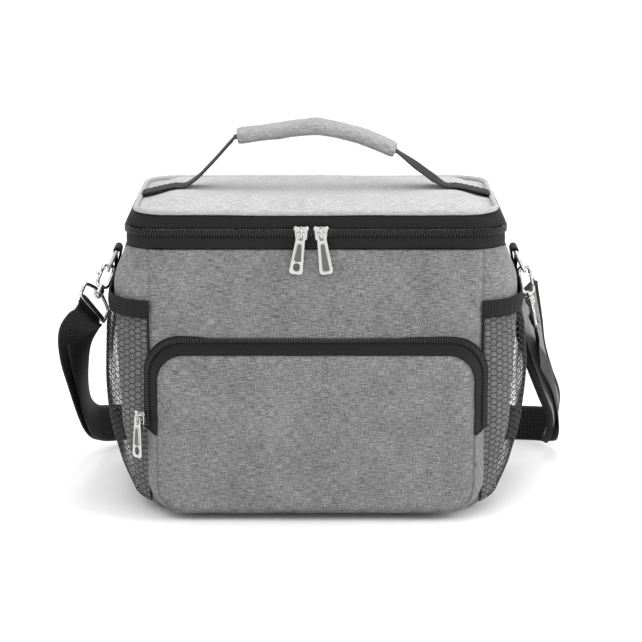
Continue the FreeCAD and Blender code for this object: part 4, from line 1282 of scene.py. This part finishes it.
HANDLE_LEFT = [(-0.0930, 0.2528), (-0.086, 0.2598), (-0.078, 0.2683), (-0.066, 0.2816), (-0.061, 0.2850),
               (-0.030, 0.2903)]
HANDLE_RIGHT = [(0.030, 0.2873), (0.061, 0.2744), (0.066, 0.2714), (0.078, 0.2626), (0.086, 0.2568),
                (0.093, 0.2518)]
FOOT = ((0.103, 0.2460), (0.112, 0.2455), (0.125, 0.2428), (0.1395, 0.2393))


def handle():
    """One webbing from foot to foot, as a single fixed band, with stitches on its feet and the padded grip
    round its middle.
    """
    stations = [(-x, 0.0, z, 0.0, 1.0, 0.0) for x, z in FOOT[::-1]]
    for x, z in HANDLE_LEFT + [(0.0, 0.2928)] + HANDLE_RIGHT:
        twist = 0.16 if x > 0.07 else 0.0
        stations.append((x, 0.0, z, 0.0, 1.0, twist))
    stations += [(x, 0.0, z, 0.0, 1.0, 0.0) for x, z in FOOT]
    band = ribbon("handle_band", stations, 0.025, 0.0013, "webbing", None, steps=8, ride=False,
                  replaces=("handle_webbing", "left_handle_foot", "right_handle_foot"))
    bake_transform(band)
    for name, x in (("left", -1), ("right", 1)):
        points = ((0.136, -0.0100), (0.104, -0.0100), (0.104, 0.0100), (0.136, 0.0100), (0.136, -0.0100))
        path = []
        for (a0, b0), (a1, b1) in zip(points, points[1:]):
            for k in range(12):
                a, b = a0 + (a1 - a0) * k / 12, b0 + (b1 - b0) * k / 12
                path.append(Vector((x * a, b, foot_top(a))))
        stitch_row(f"{name}_foot_stitch", path, [Vector((0, 0, 1))] * len(path), "dark_thread", "lid")
    grip()


def foot_top(a):
    table = [(0.100, 0.2461), (0.112, 0.2455), (0.125, 0.2428), (0.1395, 0.2393)]
    for (x0, z0), (x1, z1) in zip(table, table[1:]):
        if a <= x1:
            return z0 + (z1 - z0) * (a - x0) / (x1 - x0) + 0.0008
    return 0.2393


def grip():
    """The padded wrap: a soft flattened tube, with a ring of stitches near each end."""
    build, rows, uvs = Build(), [], []
    line = [(-0.0615, 0.2852), (-0.032, 0.2890), (-0.006, 0.2922), (0.006, 0.2919), (0.034, 0.2856),
            (0.062, 0.2740)]
    smooth = catmull([list(p) for p in line], 12)
    around = 36
    run = 0.0
    for i, (x, z) in enumerate(smooth):
        t = i / (len(smooth) - 1)
        nxt, prv = smooth[min(i + 1, len(smooth) - 1)], smooth[max(i - 1, 0)]
        tangent = Vector((nxt[0] - prv[0], 0, nxt[1] - prv[1])).normalized()
        up = Vector((-tangent.z, 0, tangent.x))
        end = min(t, 1 - t)
        pinch = 0.90 + 0.10 * min(1.0, end / 0.03)
        centre_bump = 1.0 + 0.10 * math.exp(-((t - 0.5) / 0.10) ** 2)
        half_w = 0.0142 * pinch
        half_h = 0.0060 * pinch * centre_bump
        if i:
            run += (Vector((x, 0, z)) - Vector((smooth[i - 1][0], 0, smooth[i - 1][1]))).length
        row, uv = [], []
        for k in range(around):
            a = math.tau * k / around
            ca, sa = math.cos(a), math.sin(a)
            px = math.copysign(abs(ca) ** 0.75, ca) * half_w
            pz = math.copysign(abs(sa) ** 0.75, sa) * half_h
            crumple = 0.0004 * wobble(x, px, pz, 70, 5.0) + 0.0003 * wobble(x, px, pz, 180, 9.0)
            row.append(Vector((x, 0, z)) + Vector((0, 1, 0)) * px * (1 + crumple * 20) + up * (pz + crumple))
            uv.append((run, k / around * 0.075))
        rows.append(row)
        uvs.append(uv)
    build.grid(rows, uvs, close=True, flip=True)
    build.cap(0, around)
    build.cap((len(rows) - 1) * around, around, flip=True)
    # the grip takes the copy of the melange with the top light painted in
    wrap = build.object("grip_wrap", "cloth_grip_painted_toplight", "handle", replaces=("handle_grip",))
    for end, sign in ((2, -1), (len(smooth) - 3, 1)):
        x, z = smooth[end]
        turns = [math.tau * k / 40 for k in range(40)]
        path = [Vector((x, 0.0141 * math.cos(a), z + 0.0058 * math.sin(a) + 0.0003)) for a in turns]
        normals = [Vector((0, math.cos(a), math.sin(a))) for a in turns]
        stitch_row(f"grip_stitch_{'left' if sign < 0 else 'right'}", path, normals, "thread", "handle")


# ------------------------------------------------------------------ CAD nodes that stay
KEPT = {
    "inner_lining": "foil", "lid_lining": "foil", "rim_binding": "tape_cad", "base_board": "board",
    "front_foam": "foam", "back_foam": "foam", "left_side_foam": "foam", "right_side_foam": "foam",
    "base_foam": "foam", "strap_adjuster": "plastic",
}


def dress_kept():
    for node, material in KEPT.items():
        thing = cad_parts[node]
        for slot in thing.material_slots:
            slot.material = MATERIALS[material]


# ------------------------------------------------------------------ make it
make_camera()
make_stage()
dress_kept()
body_panels()
seam_cords()
tape_band("tape_lower", 0.2102, 0.2206, "lower_zip_tape", ROOT)
tape_band("tape_upper", 0.2259, 0.2366, "upper_zip_tape", "lid", top=LID_TOP)
tape_band("strip_lower", 0.2102, 0.2221, "lid_hinge_strip", ROOT, back=True)
tape_band("strip_upper", 0.2243, 0.2366, "lid_back_band", "lid", back=True, top=LID_TOP)
hinge_fold()
main_coils()
lid_cloth()
lid_core()
pocket_cloth()
mesh_pocket("left")
mesh_pocket("right")
sliders()
eyes = {}
for side, sign in (("left", -1), ("right", 1)):
    eyes[side] = ring_and_hook(side, sign)
    ring_tab(side, sign)
shoulder_strap(eyes["left"], eyes["right"])
handle()
